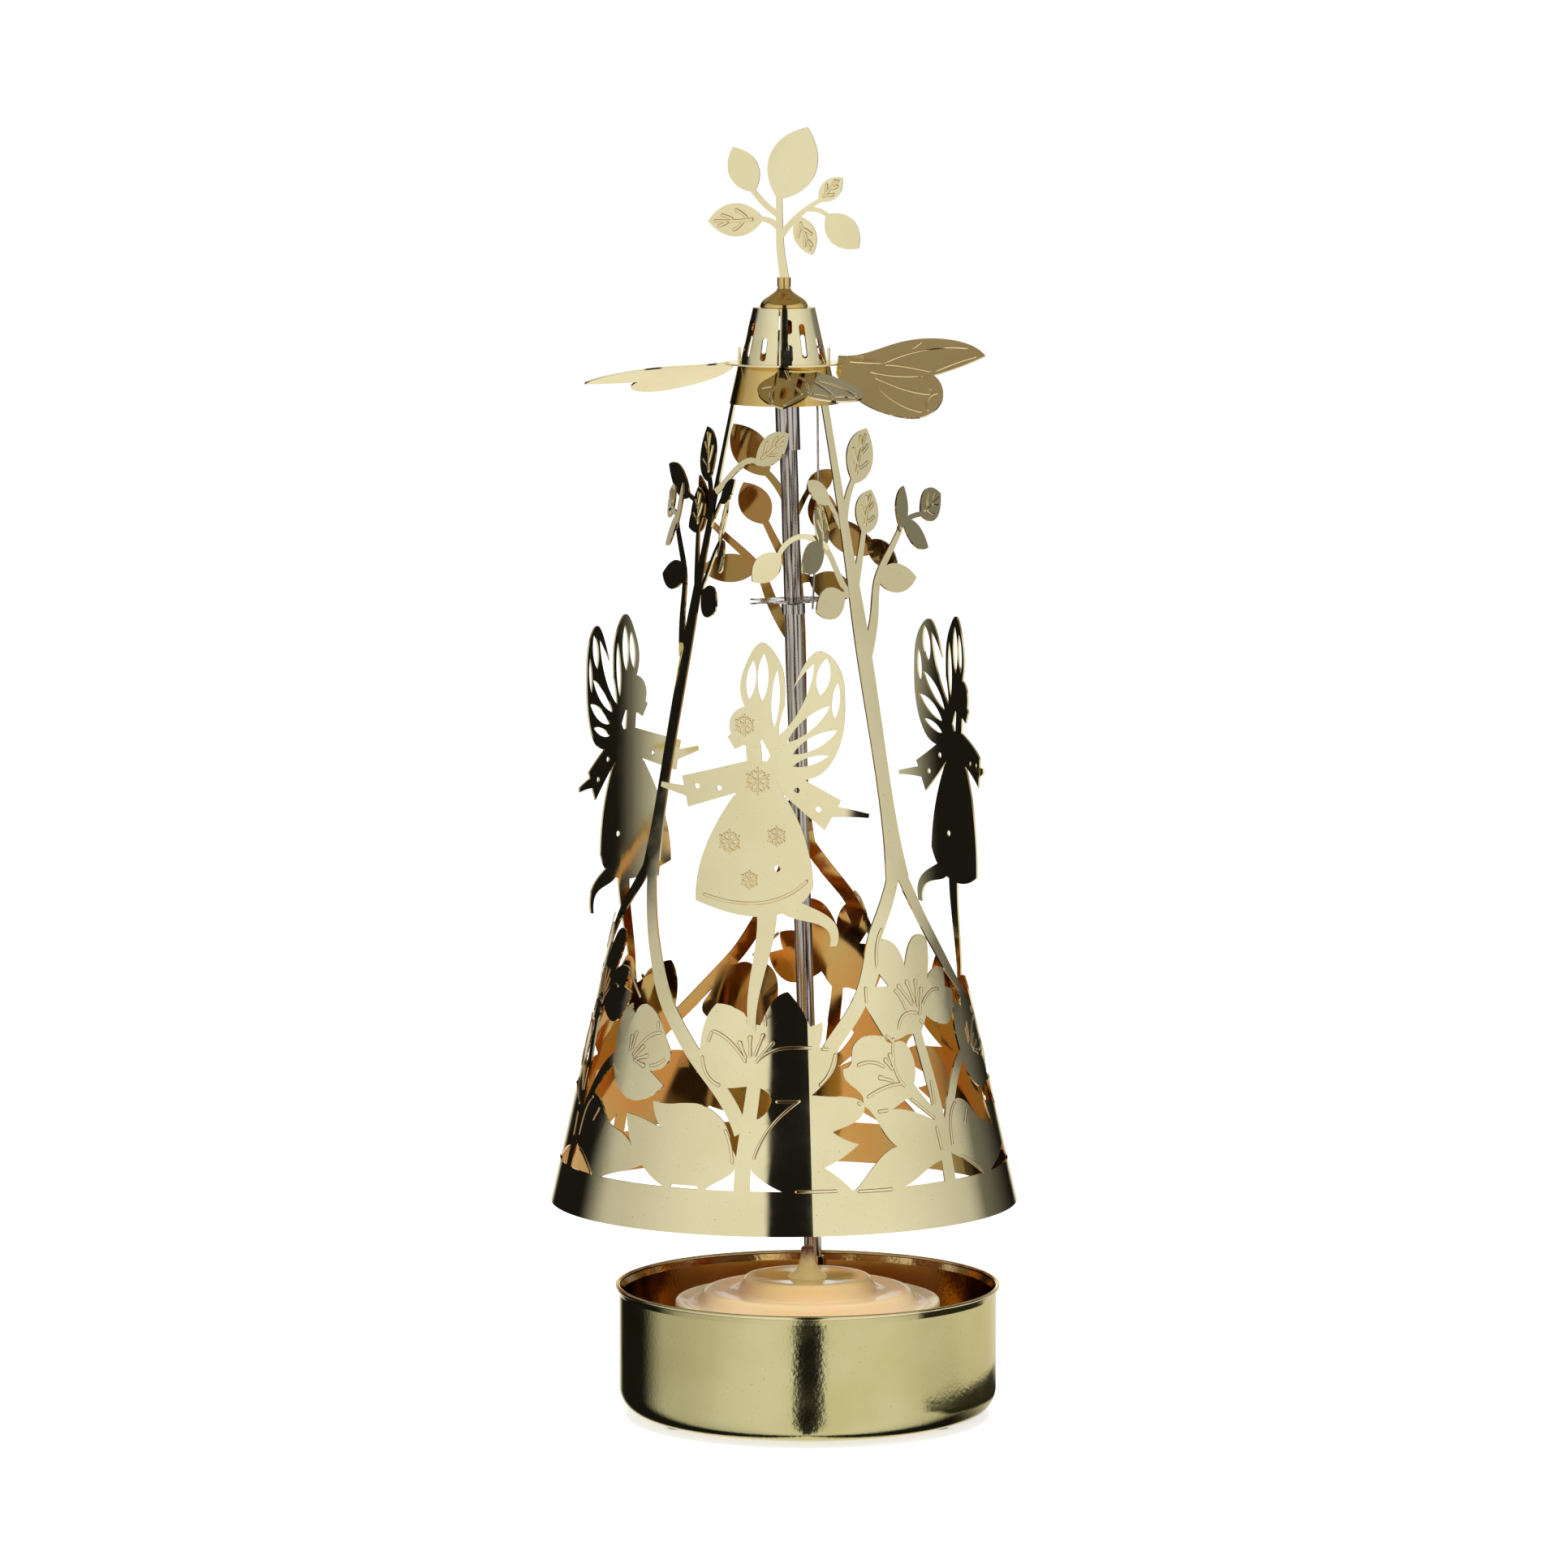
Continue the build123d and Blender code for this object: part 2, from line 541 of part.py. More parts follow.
def leg_points(trunk, end_azimuth, steps):
    """Route of a tree's leg from its trunk to its end on the hem."""
    return [(trunk + (end_azimuth - trunk) * share, height) for share, height in steps]


def hem_panel(index):
    """A third of the hem: the band, leaves, flowers and the legs of the trees."""
    unit = UNIT_AZIMUTHS[index]
    start = unit + PANEL_START
    end = unit + PANEL_END
    middle = (start + end) / 2

    def place(azimuth, height):
        return flat(azimuth - middle, height)

    def shifted(outline, root):
        return plate([[place(root + azimuth, height) for azimuth, height in curve] for curve in outline])

    motifs = [flat_sector(start - middle - 2, end - middle + 2, -2, BAND_HEIGHT)]
    holes = []
    for shift in (-1, 0, 1):
        root = unit + UNIT_TURN * shift
        trunk = TREES[(index + shift) % len(TREES)][0]
        trunk += 360 * round((root - trunk) / 360)
        motifs += [shifted(outline, root) for outline in HEM_PLATES]
        holes.append(shifted(HEM_HOLE, root))
        for points, start_width, end_width in STEMS:
            route = [place(root + azimuth, height) for azimuth, height in points]
            motifs.append(stem(route, start_width, end_width))
        for steps, reach in ((LEFT_LEG, LEFT_LEG_END), (RIGHT_LEG, RIGHT_LEG_END)):
            route = leg_points(trunk, root + reach, steps)
            motifs.append(stem([place(*point) for point in route], LEG_WIDTH, LEG_WIDTH))
        motifs.append(trunk_ribbon(trunk, trunk, place))
    near = [motif for motif in motifs if in_reach(motif, start - middle, end - middle)]
    return lattice(start, end, 0, WAIST_HEIGHT, Sketch() + near - holes, middle)


def in_reach(motif, start, end):
    """Whether a motif lies near the azimuths of a panel."""
    azimuth, _ = rolled(motif.center())
    return start - MOTIF_REACH < azimuth < end + MOTIF_REACH


def trunk_ribbon(low_azimuth, high_azimuth, place):
    """Trunk of a tree, from its split to the collar."""
    points = []
    widths = []
    for height, width in TRUNK_WIDTHS:
        share = (height - WAIST_HEIGHT) / (COLLAR_BOTTOM - WAIST_HEIGHT)
        points.append(place(low_azimuth + (high_azimuth - low_azimuth) * max(share, 0), height))
        widths.append(width)
    return ribbon(points, widths)


def trunk_azimuth(index, height):
    """Azimuth of a leaning trunk at a height."""
    low_azimuth, high_azimuth, _ = TREES[index]
    share = (height - WAIST_HEIGHT) / (COLLAR_BOTTOM - WAIST_HEIGHT)
    return low_azimuth + (high_azimuth - low_azimuth) * share


def tree(index):
    """Trunk on the cone above the waist, with its spray of twigs and leaves."""
    low_azimuth, high_azimuth, side = TREES[index]
    middle = (low_azimuth + high_azimuth) / 2

    def place(azimuth, height):
        return flat(azimuth - middle, height)

    trunk = Sketch() + trunk_ribbon(low_azimuth, high_azimuth, place)
    start = min(low_azimuth, high_azimuth) - TRUNK_REACH
    end = max(low_azimuth, high_azimuth) + TRUNK_REACH
    sheet = lattice(start, end, WAIST_HEIGHT, COLLAR_BOTTOM, trunk, middle)
    board = trunk_plane(trunk_azimuth(index, (SPRAY_ROOT + COLLAR_BOTTOM) / 2))
    return sheet + board.location * spray(TREE_SPRIGS[index], side)


def trunk_plane(azimuth):
    """Plane along the trunk, just under the cone's outside: y runs up the cone and the normal points out."""
    turn = radians(azimuth)
    radius = cone_radius(SPRAY_ROOT) - SPRAY_SINK
    root = (radius * sin(turn), -radius * cos(turn), HEM_LEVEL + SPRAY_ROOT)
    return Plane(root, x_dir=(cos(turn), sin(turn), 0), z_dir=(sin(turn), -cos(turn), SLOPE))


def spray_plate(stems, leaves):
    """Flat stems and leaves of sheet, with their front in the drawing plane."""
    motifs = [stem(points, start_width, end_width) for points, start_width, end_width in stems]
    motifs += [leaf(*values) for values in leaves]
    return extrude(Sketch() + motifs, -SHEET)


def spray(sprigs, side):
    """Twigs and leaves flat on the trunk, with sprigs that are bent further round."""
    body = spray_plate(SPRAY_STEMS, SPRAY_LEAVES)
    for (bend, stems, leaves), turn in sprigs:
        body += Pos(bend, 0, 0) * Rot(0, turn, 0) * spray_plate(stems, leaves)
    return body if side > 0 else mirror(body, Plane.YZ)


def collar_ring():
    """Closed ring of sheet that joins the three trunks."""
    return cone_shell(COLLAR_BOTTOM, COLLAR_TOP)


def crown():
    """Slotted cone that rises through the fan and holds the dome."""
    body = cone_shell(CROWN_BOTTOM, CROWN_TOP, radius=crown_radius)
    cutters = []
    for index in range(CROWN_REPEATS):
        for azimuth, height, length in CROWN_SLOTS:
            slot = Pos(0, HEM_LEVEL + height) * SlotOverall(length, SLOT_WIDTH, rotation=90)
            plane = radial_plane(azimuth + 360 / CROWN_REPEATS * index)
            cutters.append(extrude(plane * slot, HEM_RADIUS))
    seam = Pos(0, HEM_LEVEL + (CROWN_BOTTOM + CROWN_TOP) / 2) * Rectangle(SEAM_GAP, CROWN_TOP)
    cutters.append(extrude(radial_plane(SEAM_AZIMUTH) * seam, HEM_RADIUS))
    return body - cutters


def fan_wheel():
    """Hub disc with four wing blades, each set at its own pitch, and the tabs that grip the crown."""
    level = HEM_LEVEL + COLLAR_TOP + FIT
    bore = crown_radius(COLLAR_TOP) + FIT
    disc = Pos(0, 0, level) * extrude(Circle(FAN_HUB_RADIUS) - Circle(bore), SHEET)
    front = Spline(*WING_FRONT)
    back = Spline(*WING_BACK)
    lobe = Spline(*LOBE)
    root = Line(LOBE[-1], WING_FRONT[0])
    blade = extrude(make_face([front, back, lobe, root]), SHEET / 2, both=True)
    wheel = disc
    for azimuth, pitch, droop, side in FAN_BLADES:
        handed = blade if side > 0 else mirror(blade, Plane.XZ)
        pitched = Rot(side * pitch, 0, 0) * handed
        swung = Pos(bore, 0, 0) * Rot(0, droop, 0) * Pos(-bore, 0, 0) * pitched
        wheel += Pos(0, 0, level + SHEET / 2) * Rot(0, 0, azimuth - 90) * swung
    wheel -= Pos(0, 0, level) * Cylinder(bore, 4 * TAB_HEIGHT)
    for azimuth, *_ in FAN_BLADES:
        tab = Pos(bore + SHEET / 2, 0, level + TAB_HEIGHT / 2) * Box(SHEET, TAB_WIDTH, TAB_HEIGHT)
        wheel += Rot(0, 0, azimuth - 90) * tab
    return keep_largest(wheel)


def dome_cap():
    """Turned bell that sits under the crown's top edge and holds the pivot."""
    top = HEM_LEVEL + CROWN_TOP
    base = top - DOME_FLANGE
    seat = crown_radius(CROWN_TOP) - WALL - FIT
    brim = (DOME_RADIUS, top + DOME_SHOULDER)
    crest = (DOME_NIPPLE, top + DOME_HEIGHT)
    below = Polyline((0, base), (seat, base), (seat, top), brim)
    bell = Bezier(brim, (DOME_SWELL, top + DOME_SWELL_HEIGHT), (DOME_NECK, top + DOME_NECK_HEIGHT), crest)
    closing = Polyline(crest, (0, top + DOME_HEIGHT), (0, base))
    body = revolve(make_face(Plane.XZ * Curve([*below.edges(), bell, *closing.edges()])), Axis.Z)
    return body - rod(PIVOT_RADIUS + FIT, PIVOT_LENGTH, base)


def pivot_cup():
    """Bearing cup pressed into the dome, with a cone that rests on the needle."""
    base = HEM_LEVEL + CROWN_TOP - DOME_FLANGE
    recess = turned([(0, base - FIT), (PIVOT_MOUTH, base - FIT), (0, NEEDLE_TIP + PIVOT_GAP)])
    return rod(PIVOT_RADIUS, PIVOT_LENGTH, base) - recess


def twig_ferrule():
    """Small socket on the dome that the twig stands in."""
    base = HEM_LEVEL + CROWN_TOP + DOME_HEIGHT
    width = TWIG_STEMS[0][1] + 2 * FIT
    slot = Pos(0, 0, base + FERRULE_HEIGHT / 2) * Box(width, SHEET + 2 * FIT, FERRULE_HEIGHT)
    return rod(FERRULE_RADIUS, FERRULE_HEIGHT, base) - Rot(0, 0, TWIG_FACING) * slot


def twig():
    """Flat sprig with six leaves on top of the rotor."""
    motifs = [stem(points, start_width, end_width) for points, start_width, end_width in TWIG_STEMS]
    motifs += [leaf(*values) for values in TWIG_LEAVES]
    base = HEM_LEVEL + CROWN_TOP + DOME_HEIGHT
    outline = radial_plane(TWIG_FACING) * (Pos(0, base) * (Sketch() + motifs))
    return keep_largest(extrude(outline, SHEET / 2, both=True))


def fairy_outline():
    """Fairy with spread arms, one raised leg and openwork wings."""
    left_side = Spline(*FAIRY_DRESS[:4])
    skirt = Spline(*FAIRY_DRESS[3:8])
    right_side = Spline(*FAIRY_DRESS[7:])
    waist = Line(FAIRY_DRESS[-1], FAIRY_DRESS[0])
    dress = make_face([left_side, skirt, right_side, waist])
    corners_of_plates = (FAIRY_TORSO, FAIRY_LEFT_SLEEVE, FAIRY_RIGHT_SLEEVE, FAIRY_NECK, FAIRY_NOSE)
    plates = [make_face(Polyline(*corners, close=True)) for corners in corners_of_plates]
    head = Pos(*FAIRY_HEAD[0]) * Circle(FAIRY_HEAD[1])
    limbs = [stem(points, start_width, end_width) for points, start_width, end_width in FAIRY_LIMBS]
    wings = [make_face(Spline(*corners, periodic=True)) for corners in (LEFT_WING, RIGHT_WING)]
    cells = [leaf(*values) for values in WING_CELLS]
    holes = [Pos(*centre) * Circle(radius) for centre, radius in FAIRY_HOLES]
    body = Sketch() + [dress, *plates, head, *limbs]
    return (Sketch() + wings - cells + body) - holes


def fairy(toe_azimuth, facing):
    """Fairy that stands upright from the cone on one toe, gently bent about an upright axis behind it."""
    toe = cone_radius(FAIRY_SEAT)
    turn = radians(toe_azimuth)
    look = radians(facing)
    axis = (toe * sin(turn) - FAIRY_BEND * sin(look), FAIRY_BEND * cos(look) - toe * cos(turn), 0)
    length = COLLAR_BOTTOM
    shell = rod(FAIRY_BEND, length, HEM_LEVEL) - rod(FAIRY_BEND - SHEET, length, HEM_LEVEL)
    outline = Pos(0, HEM_LEVEL + TOE_HEIGHT) * fairy_outline()
    prism = extrude(radial_plane(toe_azimuth) * outline, 2 * HEM_RADIUS)
    waist = HEM_LEVEL + WAIST_HEIGHT
    hem_edge = (cone_radius(0) + FIT, HEM_LEVEL)
    waist_edge = (cone_radius(WAIST_HEIGHT) + FIT, waist)
    core = turned([(0, HEM_LEVEL), hem_edge, waist_edge, (0, waist)])
    return keep_largest((Pos(*axis) * shell & prism) - core)


def candle_cup():
    """Drawn cup with a rounded bottom corner and a rim that flares outwards."""
    rim = CUP_BASE + CUP_HEIGHT
    neck = rim - RIM_FLARE_HEIGHT
    bore = CUP_RADIUS - CUP_WALL
    outside = turned(
        [(0, CUP_BASE), (CUP_RADIUS, CUP_BASE), (CUP_RADIUS, neck), (CUP_RADIUS + RIM_FLARE, rim), (0, rim)]
    )
    inside = turned([(0, CUP_FLOOR), (bore, CUP_FLOOR), (bore, neck), (bore + RIM_FLARE, rim), (0, rim)])
    outside = fillet(outside.edges().group_by(Axis.Z)[0], CUP_CORNER)
    inside = fillet(inside.edges().group_by(Axis.Z)[0], CUP_CORNER - CUP_WALL)
    return outside - inside


def cup_feet():
    """Small rounded feet under the cup, one of them below the post."""
    foot = rod(FOOT_RADIUS, FOOT_HEIGHT)
    foot = Pos(FOOT_RING, 0, 0) * fillet(foot.edges().group_by(Axis.Z)[0], FOOT_ROUND)
    return Compound([Rot(0, 0, azimuth - 90) * foot for azimuth in FOOT_AZIMUTHS])


def candle_wax():
    """Bare tealight with a lip, a raised ring and the mound of its pool round the wick."""
    lip = [(0, 0), (WAX_RADIUS, 0), (WAX_RADIUS, WAX_HEIGHT)]
    step_foot = (WAX_STEP_RADIUS + WAX_STEP_FOOT, WAX_HEIGHT + WAX_LIP_RISE)
    step = (WAX_STEP_RADIUS, WAX_STEP_HEIGHT)
    pool = (POOL_RADIUS, POOL_HEIGHT)
    swell = POOL_RADIUS + POOL_SWELL
    side = Polyline(*lip, step_foot, step)
    mound = Bezier(step, (swell, WAX_STEP_HEIGHT), (swell, POOL_HEIGHT), pool)
    closing = Polyline(pool, (0, POOL_HEIGHT), (0, 0))
    body = revolve(make_face(Plane.XZ * Curve([*side.edges(), mound, *closing.edges()])), Axis.Z)
    wick_hole = rod(WICK_RADIUS + FIT, POOL_HEIGHT + WICK_RISE)
    disc = rod(SUSTAINER_RADIUS + FIT, SUSTAINER_THICKNESS + FIT)
    neck = rod(SUSTAINER_NECK + FIT, SUSTAINER_NECK_HEIGHT + FIT)
    return Pos(0, 0, CUP_FLOOR + FIT) * (body - wick_hole - disc - neck)


def wick_sustainer():
    """Tin disc with a short neck that holds the wick at the bottom of the wax."""
    disc = rod(SUSTAINER_RADIUS, SUSTAINER_THICKNESS)
    neck = rod(SUSTAINER_NECK, SUSTAINER_NECK_HEIGHT)
    bore = rod(WICK_RADIUS + FIT, SUSTAINER_NECK_HEIGHT)
    return Pos(0, 0, CUP_FLOOR + FIT) * (disc + neck - bore)


def candle_wick():
    """Round wick from the sustainer to above the pool."""
    length = POOL_HEIGHT + WICK_RISE - SUSTAINER_THICKNESS
    return rod(WICK_RADIUS, length, CUP_FLOOR + FIT + SUSTAINER_THICKNESS)


def tube(outer, inner, top, bottom):
    """Tube along the post, between two distances below the needle's point."""
    length = bottom - top
    return rod(outer, length, -bottom) - rod(inner, length, -bottom)


def post_socket():
    """Sleeve in the cup that holds the foot of the post."""
    return POST * tube(SOCKET_RADIUS, LOWER_RADIUS + FIT, POST_LENGTH - SOCKET_HEIGHT, POST_LENGTH)


def post_lower_tube():
    """Long thin tube of the post."""
    return POST * tube(LOWER_RADIUS, LOWER_RADIUS - TUBE_WALL, LOWER_TOP_DROP, POST_LENGTH)


def post_upper_tube():
    """Short wider tube that slips over the top of the long one."""
    return POST * tube(UPPER_RADIUS, LOWER_RADIUS + FIT, UPPER_TOP_DROP, UPPER_TOP_DROP + UPPER_LENGTH)


def needle_plug():
    """Plug with a head in the top of the upper tube."""
    shank = tube(LOWER_RADIUS, NEEDLE_RADIUS + FIT, UPPER_TOP_DROP - FIT, UPPER_TOP_DROP + PLUG_LENGTH)
    head = tube(UPPER_RADIUS, NEEDLE_RADIUS + FIT, UPPER_TOP_DROP - FIT - PLUG_HEAD, UPPER_TOP_DROP - FIT)
    return POST * (shank + head)


def needle_pin():
    """Needle that the rotor turns on."""
    length = UPPER_TOP_DROP + PLUG_LENGTH
    return POST * turned([(0, 0), (NEEDLE_RADIUS, -NEEDLE_POINT), (NEEDLE_RADIUS, -length), (0, -length)])


def chime_clip():
    """Split ring that grips the post under the chime star."""
    body = tube(LOWER_RADIUS + FIT + CLIP_WALL, LOWER_RADIUS + FIT, CHIME_DROP, CHIME_DROP + CLIP_HEIGHT)
    middle = (0, LOWER_RADIUS + CLIP_WALL, -CHIME_DROP - CLIP_HEIGHT / 2)
    gap = Pos(*middle) * Box(CLIP_WALL, LOWER_RADIUS + 2 * CLIP_WALL, 2 * CLIP_HEIGHT)
    return POST * (body - gap)


def chime_star():
    """Thin steel star that the striker brushes."""
    prong = leaf((CHIME_PRONG_ROOT, 0), (CHIME_REACH, 0), CHIME_PRONG_WIDTH)
    outline = Sketch() + Circle(CHIME_HUB) + (Circle(CHIME_RING) - Circle(CHIME_RING - CHIME_RING_WIDTH))
    for index in range(CHIME_PRONGS):
        outline += Rot(0, 0, 360 / CHIME_PRONGS * (index + 0.5)) * prong
    outline -= Circle(LOWER_RADIUS + FIT)
    return POST * Pos(0, 0, -CHIME_DROP + FIT) * extrude(outline, CHIME_THICKNESS)


def striker_wire():
    """Thin wire that hooks into a crown slot and hangs down inside the cone to the chime star."""
    level = Vector(0, 0, HEM_LEVEL + STRIKER_HOOK_HEIGHT)
    wall = crown_radius(STRIKER_HOOK_HEIGHT)
    turn = radians(STRIKER_AZIMUTH)
    outward = Vector(sin(turn), -cos(turn), 0)
    hook = outward * (wall + STRIKER_STUB) + level
    bend = outward * (wall - WALL - STRIKER_INSET) + level
    path = FilletPolyline(hook, bend, *STRIKER_ROUTE, radius=STRIKER_BENDS)
    section = Plane(origin=path @ 0, z_dir=path % 0) * Circle(STRIKER_RADIUS)
    return sweep(section, path)


def main():
    """Make every piece and write it to its own file."""
    pieces = {
        "candle_cup": candle_cup(),
        "cup_feet": cup_feet(),
        "post_socket": post_socket(),
        "post_lower_tube": post_lower_tube(),
        "post_upper_tube": post_upper_tube(),
        "needle_plug": needle_plug(),
        "needle_pin": needle_pin(),
        "chime_clip": chime_clip(),
        "chime_star": chime_star(),
        "candle_wax": candle_wax(),
        "candle_wick": candle_wick(),
        "wick_sustainer": wick_sustainer(),
        "collar_ring": SPIN * collar_ring(),
        "crown": SPIN * crown(),
        "fan_wheel": SPIN * fan_wheel(),
        "dome_cap": SPIN * dome_cap(),
        "pivot_cup": SPIN * pivot_cup(),
        "twig_ferrule": SPIN * twig_ferrule(),
        "twig": SPIN * twig(),
        "striker_wire": SPIN * striker_wire(),
    }
    for index in range(len(UNIT_AZIMUTHS)):
        pieces[f"hem_panel_{index + 1}"] = SPIN * hem_panel(index)
        pieces[f"tree_{index + 1}"] = SPIN * tree(index)
        pieces[f"fairy_{index + 1}"] = SPIN * fairy(*FAIRIES[index])
    os.makedirs("parts", exist_ok=True)
    for name, piece in pieces.items():
        export_step(piece, f"parts/{name}.step")


main()
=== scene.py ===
# %% [markdown]
# # Candle carousel
# A tealight cup carries a leaning post, and a cone of cut brass sheet hangs on the post's needle. Warm air
# turns the fan of four wings. The lesson loads the measured solids, gives every piece its finish, adds the
# pressed lines of the sheet as raised surfaces, and lights it all like a small studio.

# %% Load the measured model
import json
import bmesh
import bpy
import numpy as np
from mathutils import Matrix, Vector


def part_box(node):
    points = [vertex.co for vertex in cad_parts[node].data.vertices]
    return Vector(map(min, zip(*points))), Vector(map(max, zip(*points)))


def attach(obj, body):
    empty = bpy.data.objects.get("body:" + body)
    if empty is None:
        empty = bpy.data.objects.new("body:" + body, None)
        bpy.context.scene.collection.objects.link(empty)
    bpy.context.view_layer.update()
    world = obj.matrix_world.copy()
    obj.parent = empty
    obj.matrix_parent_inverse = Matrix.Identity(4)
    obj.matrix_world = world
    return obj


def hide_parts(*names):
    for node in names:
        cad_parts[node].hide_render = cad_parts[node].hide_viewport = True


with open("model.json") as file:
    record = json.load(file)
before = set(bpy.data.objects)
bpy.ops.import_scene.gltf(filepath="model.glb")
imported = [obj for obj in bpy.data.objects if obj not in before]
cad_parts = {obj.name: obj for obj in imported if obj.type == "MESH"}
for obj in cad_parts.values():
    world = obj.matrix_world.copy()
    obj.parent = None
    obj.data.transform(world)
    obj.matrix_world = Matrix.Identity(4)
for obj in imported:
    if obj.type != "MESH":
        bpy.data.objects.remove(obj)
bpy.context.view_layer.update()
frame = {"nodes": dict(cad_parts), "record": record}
nodes = frame["nodes"]
MM = 0.001

# %% [markdown]
# ## Places that everything else is measured from
# The rotor turns about an upright axis behind the cup's middle. A point of its sheet is named by an azimuth
# (0 faces the viewer, positive to the right) and a height above the hem, so patterns can be written flat.

# %% Spin axis and cone
SPIN = np.array(frame["record"]["behaviour"]["joints"][0]["pos_m"])
AXIS = np.array([SPIN[0], SPIN[1], 0.0])
HEM_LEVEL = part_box("hem_panel_1")[0][2]
HEM_RADIUS = 33.2 * MM
SLOPE = 0.225
SHEET = 0.25 * MM
UNITS = (0, 120, 240)
UP = np.array([0.0, 0.0, 1.0])


def outward(azimuth):
    """Level direction from the spin axis at an azimuth in degrees."""
    turn = np.radians(azimuth)
    return np.stack([np.sin(turn), -np.cos(turn), np.zeros_like(turn)], axis=-1)


def sideways(azimuth):
    """Level direction to the right, as seen from outside at that azimuth."""
    turn = np.radians(azimuth)
    return np.stack([np.cos(turn), np.sin(turn), np.zeros_like(turn)], axis=-1)


def cone_radius(height):
    """Outer radius of the cone, which narrows by SLOPE for each metre of height."""
    return HEM_RADIUS - SLOPE * height


print("spin axis at", SPIN.round(4), "hem at", round(HEM_LEVEL, 4))

# %% [markdown]
# ## Drawing boards
# The pressed lines are drawn flat, in millimetres or degrees, and a board carries the drawing to its place.
# A board is a function: it takes drawn points and returns places on the sheet with the sheet's normals.

# %% Boards: the cone, a plane, and the bent sheet of a fairy


def cone_board(unit):
    """Drawn (azimuth, height in mm) goes to the cone's outside, turned on by the unit's own azimuth."""

    def place(drawing):
        azimuth = drawing[:, 0] + unit
        height = drawing[:, 1] * MM
        out = outward(azimuth)
        points = AXIS + out * cone_radius(height)[:, None] + UP * (HEM_LEVEL + height)[:, None]
        return points, (out + UP * SLOPE) / np.sqrt(1 + SLOPE**2)

    return place


def flat_board(origin, across, along, normal):
    """Drawn (x, y) in mm goes to origin + x across + y along."""

    def place(drawing):
        points = origin + (drawing[:, :1] * across + drawing[:, 1:] * along) * MM
        return points, np.broadcast_to(normal, points.shape)

    return place


TOE_LEVEL = HEM_LEVEL + 30.7 * MM
FAIRY_SEAT = 27.8 * MM
FAIRY_BEND = 50 * MM


def fairy_board(toe, facing):
    """Bent sheet of a fairy, part of an upright cylinder whose middle is behind the figure.

    Drawn (x, y) goes level along the toe's azimuth until it meets that cylinder.
    """
    middle = outward(toe) * cone_radius(FAIRY_SEAT) - outward(facing) * FAIRY_BEND

    def place(drawing):
        start = drawing[:, :1] * MM * sideways(toe)
        offset = start - middle
        towards = offset @ outward(toe)
        reach = np.sqrt(towards**2 - (offset**2).sum(axis=1) + FAIRY_BEND**2) - towards
        level = start + reach[:, None] * outward(toe)
        normal = (level - middle) / FAIRY_BEND
        return AXIS + level + UP * (TOE_LEVEL + drawing[:, 1:] * MM), normal

    return place


def turned(vector, axis, angle):
    """Vector turned about an axis through the origin by an angle in degrees.

    The part along the axis stays, and the part across it goes over into the cross product with the axis.
    """
    turn = np.radians(angle)
    swung = vector * np.cos(turn) + np.cross(axis, vector) * np.sin(turn)
    return swung + axis * (axis @ vector) * (1 - np.cos(turn))


print("boards for", len(UNITS), "units of the hem")

# %% [markdown]
# ## Shader maths
# Node trees are easier to read as arithmetic. One small class wraps an output socket, so that `1 - mask`
# adds a Math node, and one method adds every other node.

# %% Sockets as numbers


class Tone:
    """One output socket; arithmetic on it adds Math nodes to its tree."""

    def __init__(self, tree, socket):
        self.tree = tree
        self.socket = socket

    def node(self, kind, settings, sockets, output=0):
        """Add a node: its settings first, then the values or links of its sockets."""
        made = self.tree.nodes.new(kind)
        for name, value in settings.items():
            setattr(made, name, value)
        for name, value in sockets.items():
            if isinstance(value, Tone):
                self.tree.links.new(value.socket, made.inputs[name])
            else:
                made.inputs[name].default_value = value
        return Tone(self.tree, made.outputs[output])

    def math(self, operation, first, second):
        """A Math node on two numbers or tones."""
        return self.node("ShaderNodeMath", {"operation": operation}, {0: first, 1: second})

    def __add__(self, other):
        return self.math("ADD", self, other)

    def __sub__(self, other):
        return self.math("SUBTRACT", self, other)

    def __rsub__(self, other):
        return self.math("SUBTRACT", other, self)

    def __mul__(self, other):
        return self.math("MULTIPLY", self, other)

    __radd__ = __add__
    __rmul__ = __mul__

    def rise(self, low, high):
        """A smooth step from 0 at low to 1 at high."""
        settings = {"interpolation_type": "SMOOTHSTEP"}
        return self.node("ShaderNodeMapRange", settings, {0: self, 1: low, 2: high})

    def noise(self, scale, detail=2.0):
        """Noise over the piece, with this tone as its coordinates; scale counts per metre."""
        return self.node("ShaderNodeTexNoise", {}, {"Vector": self, "Scale": scale, "Detail": detail})

    def mix(self, low, high):
        """Colour that goes from low to high with this tone."""
        return self.node("ShaderNodeMix", {"data_type": "RGBA"}, {0: self, 6: low, 7: high}, output=2)

    def stretch(self, scale, rotation=(0, 0, 0)):
        """The same coordinates, stretched and turned."""
        return self.node("ShaderNodeMapping", {}, {"Vector": self, "Scale": scale, "Rotation": rotation})

    def vector(self, operation, other, output=0):
        """A Vector Math node on this vector and another."""
        return self.node("ShaderNodeVectorMath", {"operation": operation}, {0: self, 1: other}, output)

    def parts(self):
        """The x, y and z of a vector."""
        split = self.node("ShaderNodeSeparateXYZ", {}, {0: self}).socket.node
        return [Tone(self.tree, output) for output in split.outputs]

    def bump(self, depth):
        """Normals of a surface whose height is this tone times a depth in metres."""
        return self.node("ShaderNodeBump", {}, {"Strength": 1.0, "Distance": depth, "Height": self})


